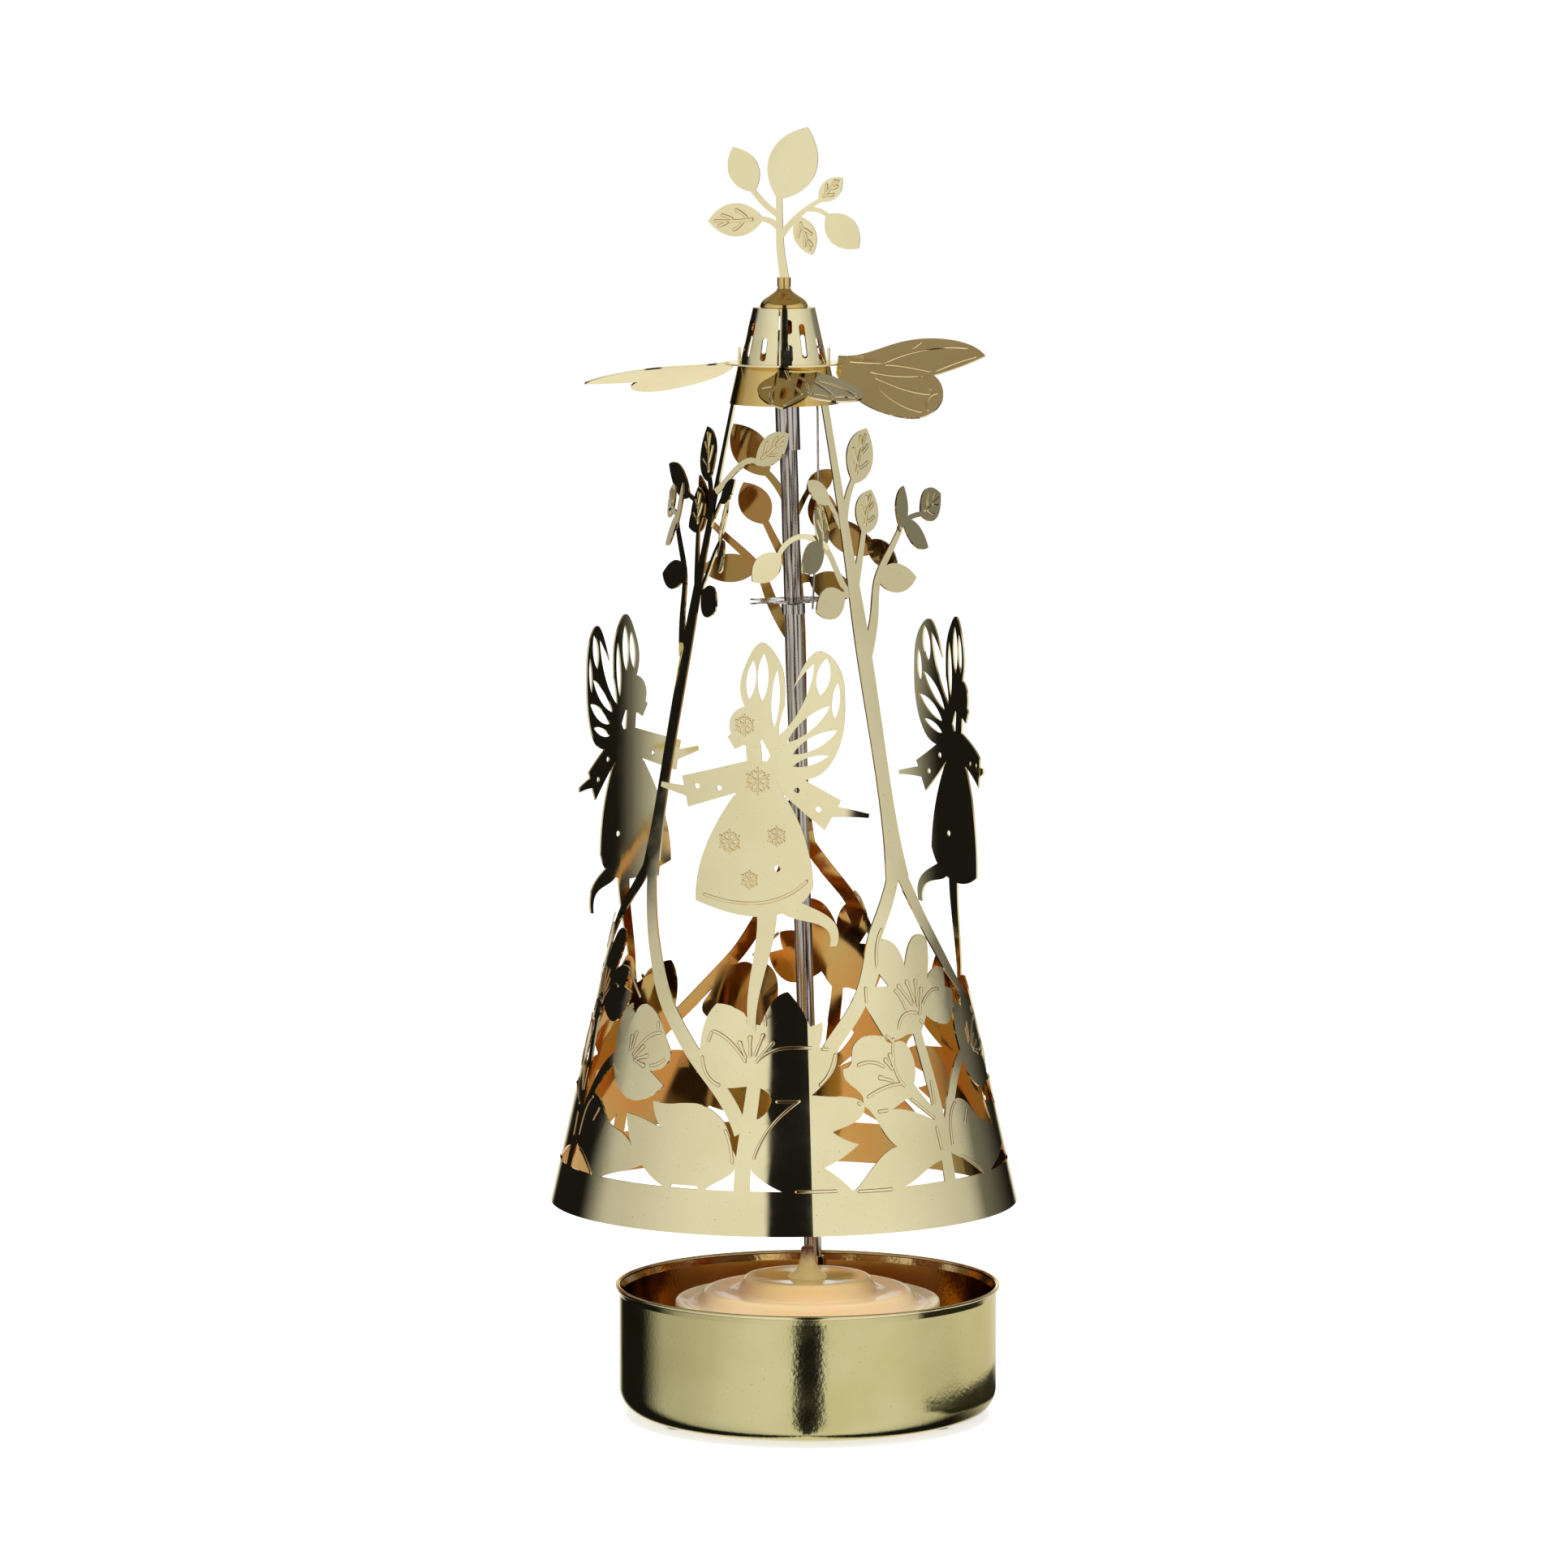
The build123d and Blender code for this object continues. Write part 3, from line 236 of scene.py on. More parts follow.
def finish(name, values, paint):
    """One Principled shader: fixed values first, then what paint returns for the place on the piece."""
    material = bpy.data.materials.new(name)
    material.use_nodes = True
    tree = material.node_tree
    shader = tree.nodes["Principled BSDF"]
    place = Tone(tree, tree.nodes.new("ShaderNodeTexCoord").outputs["Object"])
    for socket, value in values.items():
        shader.inputs[socket].default_value = value
    for socket, tone in paint(place).items():
        tree.links.new(tone.socket, shader.inputs[socket])
    return material


# %% [markdown]
# ## Brass
# The sheet is thin polished brass: almost a mirror, but never quite flat, with faint smears and a few
# specks. Outside it is pale. On the side that looks to the axis it is painted a deep copper gold, a painted
# warm reflection of the inside of the cone. On the trees that side is painted dark gold as painted shade,
# and inside the cup a warm gold stands for the painted reflection of the wax. The cup is rougher, with the
# fine orange peel of a drawn and coated pressing. A plain metal shader turns white where it is seen at a
# slant. Real brass stays golden there, so the specular tint, which colours that slant, is gold.

# %% Brass
CREAM = (0.77, 0.695, 0.43, 1)
CREAM_SHADE = (0.73, 0.65, 0.38, 1)
# Painted light: the warm reflection inside the cone, and the shade on the inside of the trees.
INSIDE_REFLECTION_COPPER = (0.60, 0.26, 0.06, 1)
INSIDE_REFLECTION_GOLD = (0.50, 0.35, 0.11, 1)
INSIDE_SHADE_GOLD = (0.27, 0.17, 0.05, 1)
INSIDE_SHADE_COPPER = (0.33, 0.15, 0.04, 1)
CUP_GOLD = (0.60, 0.55, 0.28, 1)
CUP_SHADE = (0.54, 0.48, 0.22, 1)
# Painted reflection of the wax on the inside of the cup.
CUP_INSIDE_REFLECTION = (0.82, 0.60, 0.27, 1)
CUP_INSIDE_REFLECTION_DEEP = (0.68, 0.44, 0.16, 1)
TURNED_GOLD = (0.66, 0.48, 0.18, 1)
TURNED_SHADE = (0.58, 0.40, 0.13, 1)
SPECK_BROWN = (0.22, 0.16, 0.07, 1)
GRAZING_GOLD = (1.0, 0.93, 0.76, 1)
# Noise scales: about how many clouds, smears, waves and specks there are to a metre.
CLOUDS, SMEARS, WAVES, SPECKS = 70, 240, 55, 4200
SPECK_STRENGTH = 0.5
SIDE_BLEND = 0.001


def inside_for_painted_light(place, axis):
    """1 on faces that look towards an upright axis, which get the painted reflection and shade, and 0 on
    those that look away from it.
    """
    arm = place.vector("SUBTRACT", tuple(axis)).vector("MULTIPLY", (1, 1, 0))
    normal = place.node("ShaderNodeTexCoord", {}, {}, "Normal")
    return 1 - arm.vector("DOT_PRODUCT", normal, "Value").rise(-SIDE_BLEND, SIDE_BLEND)


def brass(name, colour, shade, painted_inside, painted_inside_deep, axis, rough, smear, waves, grain, grain_scale):
    """Brass between two colours, with two more of painted reflection and shade on the side that looks to the
    axis.

    Smears add to the roughness. waves and grain are depths in metres, of the sheet and of its skin.
    """

    def paint(place):
        cloud = place.noise(CLOUDS, 3).rise(0.35, 0.7)
        rub = place.noise(SMEARS, 6).rise(0.4, 0.75)
        skin = place.noise(grain_scale, 2)
        uneven = place.noise(WAVES, 1)
        speck = place.noise(SPECKS, 0).rise(0.80, 0.84)
        outside = (speck * SPECK_STRENGTH).mix(cloud.mix(colour, shade), SPECK_BROWN)
        height = uneven * waves + skin * grain
        return {
            "Base Color": inside_for_painted_light(place, axis).mix(outside, cloud.mix(painted_inside, painted_inside_deep)),
            "Roughness": rub * smear + rough,
            "Normal": height.bump(1.0),
        }

    return finish(name, {"Metallic": 1.0, "Specular Tint": GRAZING_GOLD}, paint)


CUP_AXIS = (0.0, 0.0, 0.0)
CONE_SKIN = dict(axis=AXIS, rough=0.05, smear=0.05, waves=1.6e-5, grain=2e-7, grain_scale=2600)
PLATE_SKIN = dict(axis=AXIS, rough=0.06, smear=0.05, waves=8e-6, grain=2e-7, grain_scale=2600)
CUP_SKIN = dict(axis=CUP_AXIS, rough=0.10, smear=0.06, waves=2.5e-5, grain=1.5e-5, grain_scale=1900)
TURNED_SKIN = dict(axis=AXIS, rough=0.10, smear=0.06, waves=4e-6, grain=3e-7, grain_scale=2600)
CONE_BRASS = brass("cone brass", CREAM, CREAM_SHADE, INSIDE_REFLECTION_COPPER, INSIDE_REFLECTION_GOLD, **CONE_SKIN)
TREE_BRASS = brass("tree brass", CREAM, CREAM_SHADE, INSIDE_SHADE_GOLD, INSIDE_SHADE_COPPER, **CONE_SKIN)
PLATE_BRASS = brass("plate brass", CREAM, CREAM_SHADE, CREAM, CREAM_SHADE, **PLATE_SKIN)
CUP_BRASS = brass("cup brass", CUP_GOLD, CUP_SHADE, CUP_INSIDE_REFLECTION, CUP_INSIDE_REFLECTION_DEEP, **CUP_SKIN)
TURNED_BRASS = brass("turned brass", TURNED_GOLD, TURNED_SHADE, TURNED_GOLD, TURNED_SHADE, **TURNED_SKIN)
print("brasses", [item.name for item in (CONE_BRASS, TREE_BRASS, PLATE_BRASS, CUP_BRASS, TURNED_BRASS)])

# %% [markdown]
# ## Steel, wax, wick and feet
# The post is drawn tube, so its lines run lengthwise. Wax lets light in, so it needs subsurface scattering.
# Its pool is wet and yellower, and its outer lip is painted paler as a highlight. The wick is waxed cotton,
# scorched at the tip.

# %% Steel
POST_LEAN = 1.76
STEEL_DARK = (0.28, 0.25, 0.22, 1)
STEEL_PALE = (0.66, 0.62, 0.56, 1)
DRAWN_OUT = 0.01
DRAWN_LINES = 5200
DRAWN_DEPTH = 8e-6


def steel_paint(place):
    """Fine lines drawn along the tubes: noise stretched a hundredfold along the post."""
    along = place.stretch((1.0, 1.0, DRAWN_OUT), (0.0, np.radians(POST_LEAN), 0.0))
    lines = along.noise(DRAWN_LINES, 3)
    return {
        "Base Color": lines.rise(0.3, 0.7).mix(STEEL_DARK, STEEL_PALE),
        "Roughness": lines * 0.12 + 0.10,
        "Normal": lines.bump(DRAWN_DEPTH),
    }


STEEL = finish("drawn steel", {"Metallic": 1.0}, steel_paint)
print(STEEL.name)

# %% Wax
WAX_PEACH = (0.98, 0.66, 0.35, 1)
# Painted highlight on the outer lip of the wax.
WAX_LIP_HIGHLIGHT = (0.98, 0.74, 0.48, 1)
WAX_POOL = (1.0, 0.66, 0.21, 1)
# Distances from the candle's middle, in metres, where the pool ends and where the painted highlight of the
# lip begins.
POOL_SHORE = (0.007, 0.012)
LIP_HIGHLIGHT_SHORE = (0.0145, 0.0185)
WAX_LUMPS = 160
WAX_LUMP_DEPTH = 1.0e-4
SHORE_WANDER = 0.003
WAX_ROUGH, POOL_SMOOTHER = 0.28, 0.22
# How far red, green and blue light go inside the wax, in metres.
WAX_DEPTH = (0.005, 0.0025, 0.0012)


def wax_paint(place):
    """Peach wax, wetter and yellower towards the wick, and painted paler towards its outer lip as a
    highlight.
    """
    x, y, _ = place.parts()
    uneven = place.noise(WAX_LUMPS, 2)
    reach = x.math("POWER", x * x + y * y, 0.5) + uneven * SHORE_WANDER
    pool = 1 - reach.rise(*POOL_SHORE)
    return {
        "Base Color": pool.mix(reach.rise(*LIP_HIGHLIGHT_SHORE).mix(WAX_PEACH, WAX_LIP_HIGHLIGHT), WAX_POOL),
        "Roughness": WAX_ROUGH - pool * POOL_SMOOTHER,
        "Normal": (uneven * (1 - pool)).bump(WAX_LUMP_DEPTH),
    }


WAX_VALUES = {
    "Subsurface Weight": 0.7,
    "Subsurface Radius": WAX_DEPTH,
    "Subsurface Scale": 1.0,
    "Coat Weight": 0.35,
}
WAX = finish("peach wax", WAX_VALUES, wax_paint)
print(WAX.name)

# %% Wick and feet
WICK_LOW, WICK_TOP = (float(corner[2]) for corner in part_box("candle_wick"))
WICK_CREAM = (1.0, 0.78, 0.32, 1)
SCORCHED = (0.20, 0.05, 0.015, 1)
SCORCH_LENGTH, SCORCH_FRAY = 0.0020, 0.0008
FIBRES, FIBRE_DEPTH = 1800, 4e-5
MOTTLE = 500
FOOT_DARK = (0.16, 0.15, 0.07, 1)
FOOT_PALE = (0.30, 0.27, 0.14, 1)


def wick_paint(place):
    """Waxed cotton with a scorched tip."""
    _, _, z = place.parts()
    twist = place.noise(FIBRES, 3)
    scorch = (z + twist * SCORCH_FRAY).rise(WICK_TOP - SCORCH_LENGTH, WICK_TOP)
    return {"Base Color": scorch.mix(WICK_CREAM, SCORCHED), "Normal": twist.bump(FIBRE_DEPTH)}


def foot_paint(place):
    """Smooth brownish-green feet with a faint mottle."""
    return {"Base Color": place.noise(MOTTLE, 3).mix(FOOT_DARK, FOOT_PALE)}


WICK = finish("waxed wick", {"Roughness": 0.35, "Coat Weight": 0.4}, wick_paint)
FEET = finish("foot", {"Roughness": 0.35}, foot_paint)
print(WICK.name, "and", FEET.name)

# %% Finishes on the solids
FINISHES = {
    "brass_sheet": CONE_BRASS,
    "turned_brass": TURNED_BRASS,
    "brass_cup": CUP_BRASS,
    "nickel_steel": STEEL,
    "small_feet": FEET,
    "candle_wax": WAX,
    "wick": WICK,
}
PLATES = ("fan_wheel", "twig", "fairy_1", "fairy_2", "fairy_3")
TREES = ("tree_1", "tree_2", "tree_3")
OWN_FINISHES = {"collar_ring": TURNED_BRASS}
OWN_FINISHES.update(dict.fromkeys(PLATES, PLATE_BRASS))
OWN_FINISHES.update(dict.fromkeys(TREES, TREE_BRASS))
for part in frame["record"]["subparts"]:
    for slot in nodes[part["node"]].material_slots:
        slot.material = OWN_FINISHES.get(part["node"], FINISHES[part["material_slot"]])
print("finishes", len(FINISHES), "and", len(OWN_FINISHES), "solids with another one")

# %% [markdown]
# ## Surfaces from arrays
# Every new piece is one or more grids of points. The faces follow from the grid's numbering alone, and points
# that fall together at a pole or a tapered end are merged.

# %% Grids to meshes
MERGE = 1e-7


def surface(name, grids, material, body, wrap=False, shares=None):
    """Piece from grids of shape (count, rows, columns, 3); wrap closes the columns into a ring.

    Each face joins a point to its next row and next column. shares is an attribute named wall, one per point.
    """
    count, rows, columns, _ = grids.shape
    number = np.arange(count * rows * columns).reshape(count, rows, columns)
    if wrap:
        number = np.concatenate([number, number[:, :, :1]], axis=2)
    corners = [number[:, :-1, :-1], number[:, 1:, :-1], number[:, 1:, 1:], number[:, :-1, 1:]]
    faces = np.stack(corners, axis=-1).reshape(-1, 4)
    mesh = bpy.data.meshes.new(name)
    mesh.from_pydata(grids.reshape(-1, 3).tolist(), [], faces.tolist())
    if shares is not None:
        wall = mesh.attributes.new("wall", "FLOAT", "POINT")
        wall.data.foreach_set("value", np.ascontiguousarray(shares, dtype=np.float32).ravel())
    shell = bmesh.new()
    shell.from_mesh(mesh)
    bmesh.ops.remove_doubles(shell, verts=shell.verts, dist=MERGE)
    shell.to_mesh(mesh)
    shell.free()
    mesh.shade_smooth()
    mesh.materials.append(material)
    piece = bpy.data.objects.new(name, mesh)
    bpy.context.collection.objects.link(piece)
    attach(piece, body)
    print(name, len(mesh.polygons), "faces")
    return piece


# %% [markdown]
# ## Pressed lines
# A press has left fine lines on the sheet: stamens and petal edges on the flowers, veins on some leaves and
# wings, small stars on the dresses. Each is a flat-topped ridge with steep sides, up to half a millimetre
# wide. A bump map would vanish at this size, so each line is a real surface along a smooth stroke.

# %% Ridges along strokes
PRESS_WIDTH = 0.5 * MM
PRESS_RISE = 0.09 * MM
RAISED = 0.16 * MM
PRESS_STEPS = 22
PRESS_ACROSS = np.array([-1.0, -0.82, -0.5, 0.0, 0.5, 0.82, 1.0])
PRESS_LIFT = np.array([-0.15, 0.75, 1.0, 1.0, 1.0, 0.75, -0.15])
PRESS_WALL = np.array([1.0, 0.9, 0.0, 0.0, 0.0, 0.9, 1.0])
BEAD = 0.55
BEAD_PLACE = 0.8
BEAD_FALL = 1.6
# Painted shade: copper brown on the walls of the pressed lines.
PRESS_WALL_SHADE = (0.40, 0.20, 0.07, 1)
# Painted highlight: the raised lines are painted paler than the sheet.
RAISED_LINE_HIGHLIGHT = (0.84, 0.74, 0.46, 1)
RAISED_LINE_GOLD = (0.70, 0.55, 0.27, 1)


def curve(stroke, share):
    """Points at shares of a stroke: one polynomial through its points, by the length of the chords."""
    points = np.array(stroke, dtype=float)
    chords = np.linalg.norm(np.diff(points, axis=0), axis=1)
    knots = np.concatenate([[0.0], np.cumsum(chords)]) / chords.sum()
    return np.polyval(np.polyfit(knots, points, len(points) - 1), share[:, None])


def ridge(stroke, board, width=PRESS_WIDTH, rise=PRESS_RISE, bead=0.0):
    """Grid of one ridge: a flat-topped section carried along the stroke.

    Its half width and height fall to nothing at both ends as a circle does. A bead widens the first end by
    that share, as a bell curve whose middle lies BEAD_PLACE widths from the end.
    """
    share = (1 - np.cos(np.linspace(0, np.pi, PRESS_STEPS))) / 2
    line, normal = board(curve(stroke, share))
    run = np.gradient(line, axis=0)
    side = np.cross(normal, run)
    side /= np.linalg.norm(side, axis=1, keepdims=True)
    length = np.linalg.norm(np.diff(line, axis=0), axis=1).sum()
    nearness = np.minimum(np.minimum(share, 1 - share) * 2 * length / width, 1)
    taper = np.sqrt(1 - (1 - nearness) ** 2)
    swell = 1 + bead * np.exp(-((share * length / width - BEAD_PLACE) ** 2) * BEAD_FALL)
    half = (width / 2 * taper * swell)[:, None, None] * PRESS_ACROSS[None, :, None]
    lift = (rise * taper)[:, None, None] * PRESS_LIFT[None, :, None]
    return line[:, None] + side[:, None] * half + normal[:, None] * lift


def pressed_paint(place):
    """Pale brass on top, and a painted copper-brown shade on the walls of the line."""
    wall = place.node("ShaderNodeAttribute", {"attribute_name": "wall"}, {}, "Fac")
    return {
        "Base Color": wall.mix(CREAM, PRESS_WALL_SHADE),
        "Roughness": place.noise(600, 2) * 0.1 + 0.08,
    }


PRESSED_BRASS = finish("pressed brass", {"Metallic": 1.0}, pressed_paint)


def raised_paint(place):
    """Bright lines pushed up from behind, painted paler than the sheet as a highlight."""
    return {
        "Base Color": place.noise(300, 3).mix(RAISED_LINE_HIGHLIGHT, RAISED_LINE_GOLD),
        "Roughness": place.noise(600, 2) * 0.1 + 0.06,
    }


RAISED_BRASS = finish("raised brass", {"Metallic": 1.0}, raised_paint)


def pressed(name, ridges, material):
    """One piece of all these ridges, on the rotor."""
    grids = np.stack(ridges)
    shares = np.broadcast_to(PRESS_WALL, grids.shape[:3])
    return surface(name, grids, material, "rotor", shares=shares)


# %% [markdown]
# ## Lines of the hem
# One unit of the hem repeats three times. Each stroke is written as points of azimuth in degrees and height
# in millimetres above the hem's lower edge. The stamens start at their bead.

# %% Flowers and stems of the hem
PETAL_LINES = (
    ((-22.8, 26.1), (-21.7, 27.7)),
    ((-21.7, 27.7), (-17.3, 26.8), (-13.7, 25.3), (-10.8, 23.5)),
    ((-8.2, 23.5), (-5, 24.8), (0.9, 25.6), (8.2, 25.6)),
    ((10.7, 25.4), (13.2, 25.3)),
    ((-24.2, 24.3), (-23.1, 22.4), (-20.6, 20.9), (-18, 20.3)),
    ((15, 24.8), (13.2, 22.4), (9.6, 20.4)),
    ((-9.4, 29.8), (-11.2, 28.9)),
    ((-5.7, 30.1), (-5.3, 28.5)),
    ((-2.4, 18.3), (4.1, 18.3)),
    ((36.5, 32.8), (38.7, 31.5), (40.1, 29.9)),
    ((46.7, 30.1), (50.3, 31.6), (56.5, 32)),
    ((36.1, 27.3), (37.2, 28.5), (40.9, 29.5), (44.5, 29.3)),
    ((45, 28.4), (46.2, 27.7)),
    ((26.3, 33.6), (26, 31.3)),
    ((35, 41.3), (32.1, 39.2), (31, 36)),
    ((61.6, 34.7), (70, 31.2)),
    ((21.2, 22.9), (24.9, 23.3), (30, 22.4)),
    ((34, 26.4), (33.2, 22.1), (36.1, 19.5)),
    ((31.4, 26.8), (34, 25.6)),
    ((23.4, 18.5), (29.2, 19.7), (35, 20)),
    ((20.5, 18), (21.6, 17.5)),
    ((26.3, 16.5), (29.6, 16.6)),
    ((-38.9, 26.8), (-42, 26.5), (-45.6, 25.3), (-49.3, 23.2)),
    ((-40.9, 28.4), (-40.4, 27.3)),
    ((-41.7, 22.2), (-38.6, 22.6), (-36.4, 23.3)),
    ((2.7, 6.1), (13.6, 6.1)),
    ((18.7, 5.9), (28.5, 5.9)),
    ((-15.9, 14.4), (-14.1, 12), (-13.4, 9.7)),
    ((4.5, 18.5), (-0.6, 16.5), (-4.9, 13.9), (-7.9, 10.4)),
    ((44.9, 13.7), (45.6, 10.3)),
    ((54.7, 16.5), (51.8, 15.2), (50, 10.7)),
    ((37.2, 17.9), (44.9, 14.7)),
    ((45.6, 20), (45.6, 16.7)),
    ((52.5, 9.1), (56.2, 8.3), (62, 6.1)),
    ((-63, 13.3), (-60.5, 15.3)),
)
STAMENS = (
    ((-13.3, 26.5), (-10.8, 24)),
    ((-10, 27.3), (-9.7, 24.3)),
    ((-5.8, 27.6), (-8.6, 24.3)),
    ((-2.9, 26.5), (-7.5, 24)),
    ((38, 33.5), (43.1, 30.4)),
    ((41.7, 34), (44.1, 30.7)),
    ((45.8, 34), (44.9, 30.1)),
    ((48, 32.8), (45.2, 28.9)),
    ((31.9, 24.4), (32.9, 22.1)),
    ((30, 23.7), (32.5, 21.9)),
    ((27.4, 21.2), (32.5, 20.4)),
    ((-48.9, 26.7), (-50, 24)),
    ((-50.8, 26.1), (-50.8, 23.7)),
    ((-44.9, 24.8), (-48.9, 22.9)),
    ((-42.8, 23.5), (-47.8, 22.8)),
    ((-43.5, 22), (-48.6, 22.7)),
)
hem_ridges = [ridge(stroke, cone_board(unit)) for unit in UNITS for stroke in PETAL_LINES]
hem_ridges += [ridge(stroke, cone_board(unit), bead=BEAD) for unit in UNITS for stroke in STAMENS]
pressed("hem_lines", hem_ridges, PRESSED_BRASS)

# %% [markdown]
# ## Leaf veins
# A veined leaf has a midrib and pairs of side veins that lean towards the tip. They follow from the leaf's
# base, tip and width alone, so one function serves the trees and the twig on top.

# %% Veins from a leaf's base, tip and width
MIDRIB = (0.16, 0.9)
VEIN_ROOTS = (0.30, 0.56)
VEIN_RUN = 0.24
VEIN_SPREAD = 0.34
VEIN_WIDTH = 0.5 * MM
MIDRIB_BOW = 0.03
VEIN_STAGGER = 0.03
ELBOW_ALONG = 0.45
ELBOW_OUT = 0.6
LEAF_BELLY = 0.8


def veins(base, tip, width):
    """Strokes of one leaf: a midrib, and side veins that curve outwards and on towards the tip.

    A side vein reaches out in step with the leaf's half width, which is a sine along the leaf with its belly
    moved towards the base.
    """
    base = np.array(base)
    along = np.array(tip) - base
    across = np.array([-along[1], along[0]]) / np.linalg.norm(along) * width
    low, high = (base + along * share for share in MIDRIB)
    strokes = [(low, (low + high) / 2 + across * MIDRIB_BOW, high)]
    for root in VEIN_ROOTS:
        spread = VEIN_SPREAD * np.sin(np.pi * (root + VEIN_RUN) ** LEAF_BELLY)
        for hand in (-1, 1):
            start = base + along * (root + VEIN_STAGGER * hand)
            elbow = start + along * VEIN_RUN * ELBOW_ALONG + across * spread * ELBOW_OUT * hand
            end = start + along * VEIN_RUN + across * spread * hand
            strokes.append((start, elbow, end))
    return strokes


# %% Veined leaves of the trees
SPRAY_ROOT = 80 * MM
SPRAY_SINK = 0.1 * MM
SPRAY_AZIMUTHS = (48.1, 174.0, -67.6)
SPRAY_SIDES = (1, 1, -1)
FLAT_LEAVES = (((3.7, 15.6), (6.9, 21.8), 4.6), ((3.4, 22.8), (8.1, 30.5), 5.2))
OUTER_LEAF = ((7.0, 17.7), (14.2, 20.7), 4.6)
INNER_LEAF = ((0.2, 14.2), (1.2, 21.2), 4.2)
HIGH_LEAF = ((-5.8, 26.5), (-10.6, 31.6), 4.2)
BENT_LEAVES = (
    ((OUTER_LEAF, 11.7, 14), (INNER_LEAF, -5.0, 14)),
    ((OUTER_LEAF, 11.7, -60), (INNER_LEAF, -5.0, 14)),
    ((OUTER_LEAF, 11.7, 14), (INNER_LEAF, -5.0, 14), (HIGH_LEAF, -1.0, -25)),
)


def spray_board(azimuth, side, bend=0.0, turn=0.0):
    """Plane of a tree's spray, along the cone; a sprig is bent about a line that runs up the trunk."""
    normal = (outward(azimuth) + UP * SLOPE) / np.sqrt(1 + SLOPE**2)
    across = sideways(azimuth)
    along = np.cross(normal, across)
    root = AXIS + outward(azimuth) * (cone_radius(SPRAY_ROOT) - SPRAY_SINK) + UP * (HEM_LEVEL + SPRAY_ROOT)
    origin = root + across * (side * bend * MM)
    bent = turned(across, along, side * turn)
    return flat_board(origin, bent * side, along, turned(normal, along, side * turn))


tree_ridges = []
for azimuth, side, bent_leaves in zip(SPRAY_AZIMUTHS, SPRAY_SIDES, BENT_LEAVES):
    sheets = [(leaf, spray_board(azimuth, side)) for leaf in FLAT_LEAVES]
    sheets += [(leaf, spray_board(azimuth, side, bend, turn)) for leaf, bend, turn in bent_leaves]
    for leaf, board in sheets:
        tree_ridges += [ridge(stroke, board, VEIN_WIDTH, RAISED) for stroke in veins(*leaf)]
pressed("tree_veins", tree_ridges, RAISED_BRASS)

# %% Veined leaves of the twig
TWIG_FACING = -14
TWIG_BASE = 156.2 * MM
TWIG_LEAVES = (
    ((-3.0, 9.5), (-11.0, 9.1), 4.7),
    ((5.1, 12.0), (8.4, 15.4), 2.8),
    ((2.0, 10.0), (4.1, 4.5), 3.2),
)
twig_front = outward(TWIG_FACING)
twig_origin = AXIS + UP * TWIG_BASE + twig_front * SHEET / 2
twig_board = flat_board(twig_origin, sideways(TWIG_FACING), UP, twig_front)
twig_strokes = [stroke for leaf in TWIG_LEAVES for stroke in veins(*leaf)]
twig_ridges = [ridge(stroke, twig_board, VEIN_WIDTH, RAISED) for stroke in twig_strokes]
pressed("twig_veins", twig_ridges, RAISED_BRASS)

# %% [markdown]
# ## Wings of the fan
# Each blade has fine veins that branch from its root. A blade is pitched about its own middle line and droops
# from the hub's bore, and the board for its veins is turned in the same order.

# %% Veins of the blades
FAN_HEIGHT = 118.83 * MM
FAN_LEVEL = HEM_LEVEL + FAN_HEIGHT + SHEET / 2
FAN_BORE = 6.2 * MM
# Azimuth, pitch and droop of each blade in degrees, and -1 for the blade that is mirrored.
FAN_BLADES = ((3, 4, 12, -1), (82, 45, 0, 1), (172, 30, 4, 1), (262, 15, 9, 1))
# Strokes in mm: distance from the spin axis, and distance across the blade.
BLADE_VEINS = (
    ((9.2, 0.3), (11.5, 0.1), (14, 0)),
    ((14.2, 0), (17.9, 2), (21.2, 2.9), (25.9, 2.9)),
    ((19.2, 4.1), (18, 2.7)),
    ((27.2, 1.4), (25, 0.5), (23.1, -0.5), (21.6, -1.4)),
    ((14.3, -0.3), (17.2, -0.6), (19.8, -1.2), (21, -1.5)),
    ((12.2, -1.5), (14.2, -2.1), (16.6, -2.4), (19.9, -2.3)),
    ((20.3, -2.5), (20.7, -4.1), (21.3, -5)),
    ((13, -2.6), (16, -4.2), (18.9, -5.3), (21.8, -5.7)),
    ((13.5, -4.1), (16.3, -7), (18.6, -8.4), (20.4, -9)),
    ((22.3, -5.5), (21.2, -6.2), (20.9, -7.4), (21.3, -8.8)),
)
BLADE_VEIN_WIDTH = 0.42 * MM


def blade_board(azimuth, pitch, droop, side):
    """Top of a blade: drawn (reach, across), pitched about its length, then drooped about the bore."""
    reach = outward(azimuth)
    across = np.cross(UP, reach)
    normal = turned(turned(UP, reach, side * pitch), across, droop)
    width = turned(turned(across, reach, side * pitch), across, droop)
    length = turned(reach, across, droop)
    bore = AXIS + UP * FAN_LEVEL + reach * FAN_BORE
    origin = bore - length * FAN_BORE + normal * SHEET / 2
    return flat_board(origin, length, width * side, normal)


blade_ridges = [
    ridge(vein, blade_board(*blade), BLADE_VEIN_WIDTH, RAISED) for blade in FAN_BLADES for vein in BLADE_VEINS
]
pressed("blade_veins", blade_ridges, RAISED_BRASS)

# %% [markdown]
# ## Dresses
# The fairies wear small six-armed stars and a line above the hem of the dress. A star is three crossing lines
# with two short barbs on each arm.

# %% Stars and hem lines on the fairies
# Azimuth of each fairy's toe, and the azimuth that the figure faces.
FAIRIES = ((-9, -20), (111, 111), (235, 235))
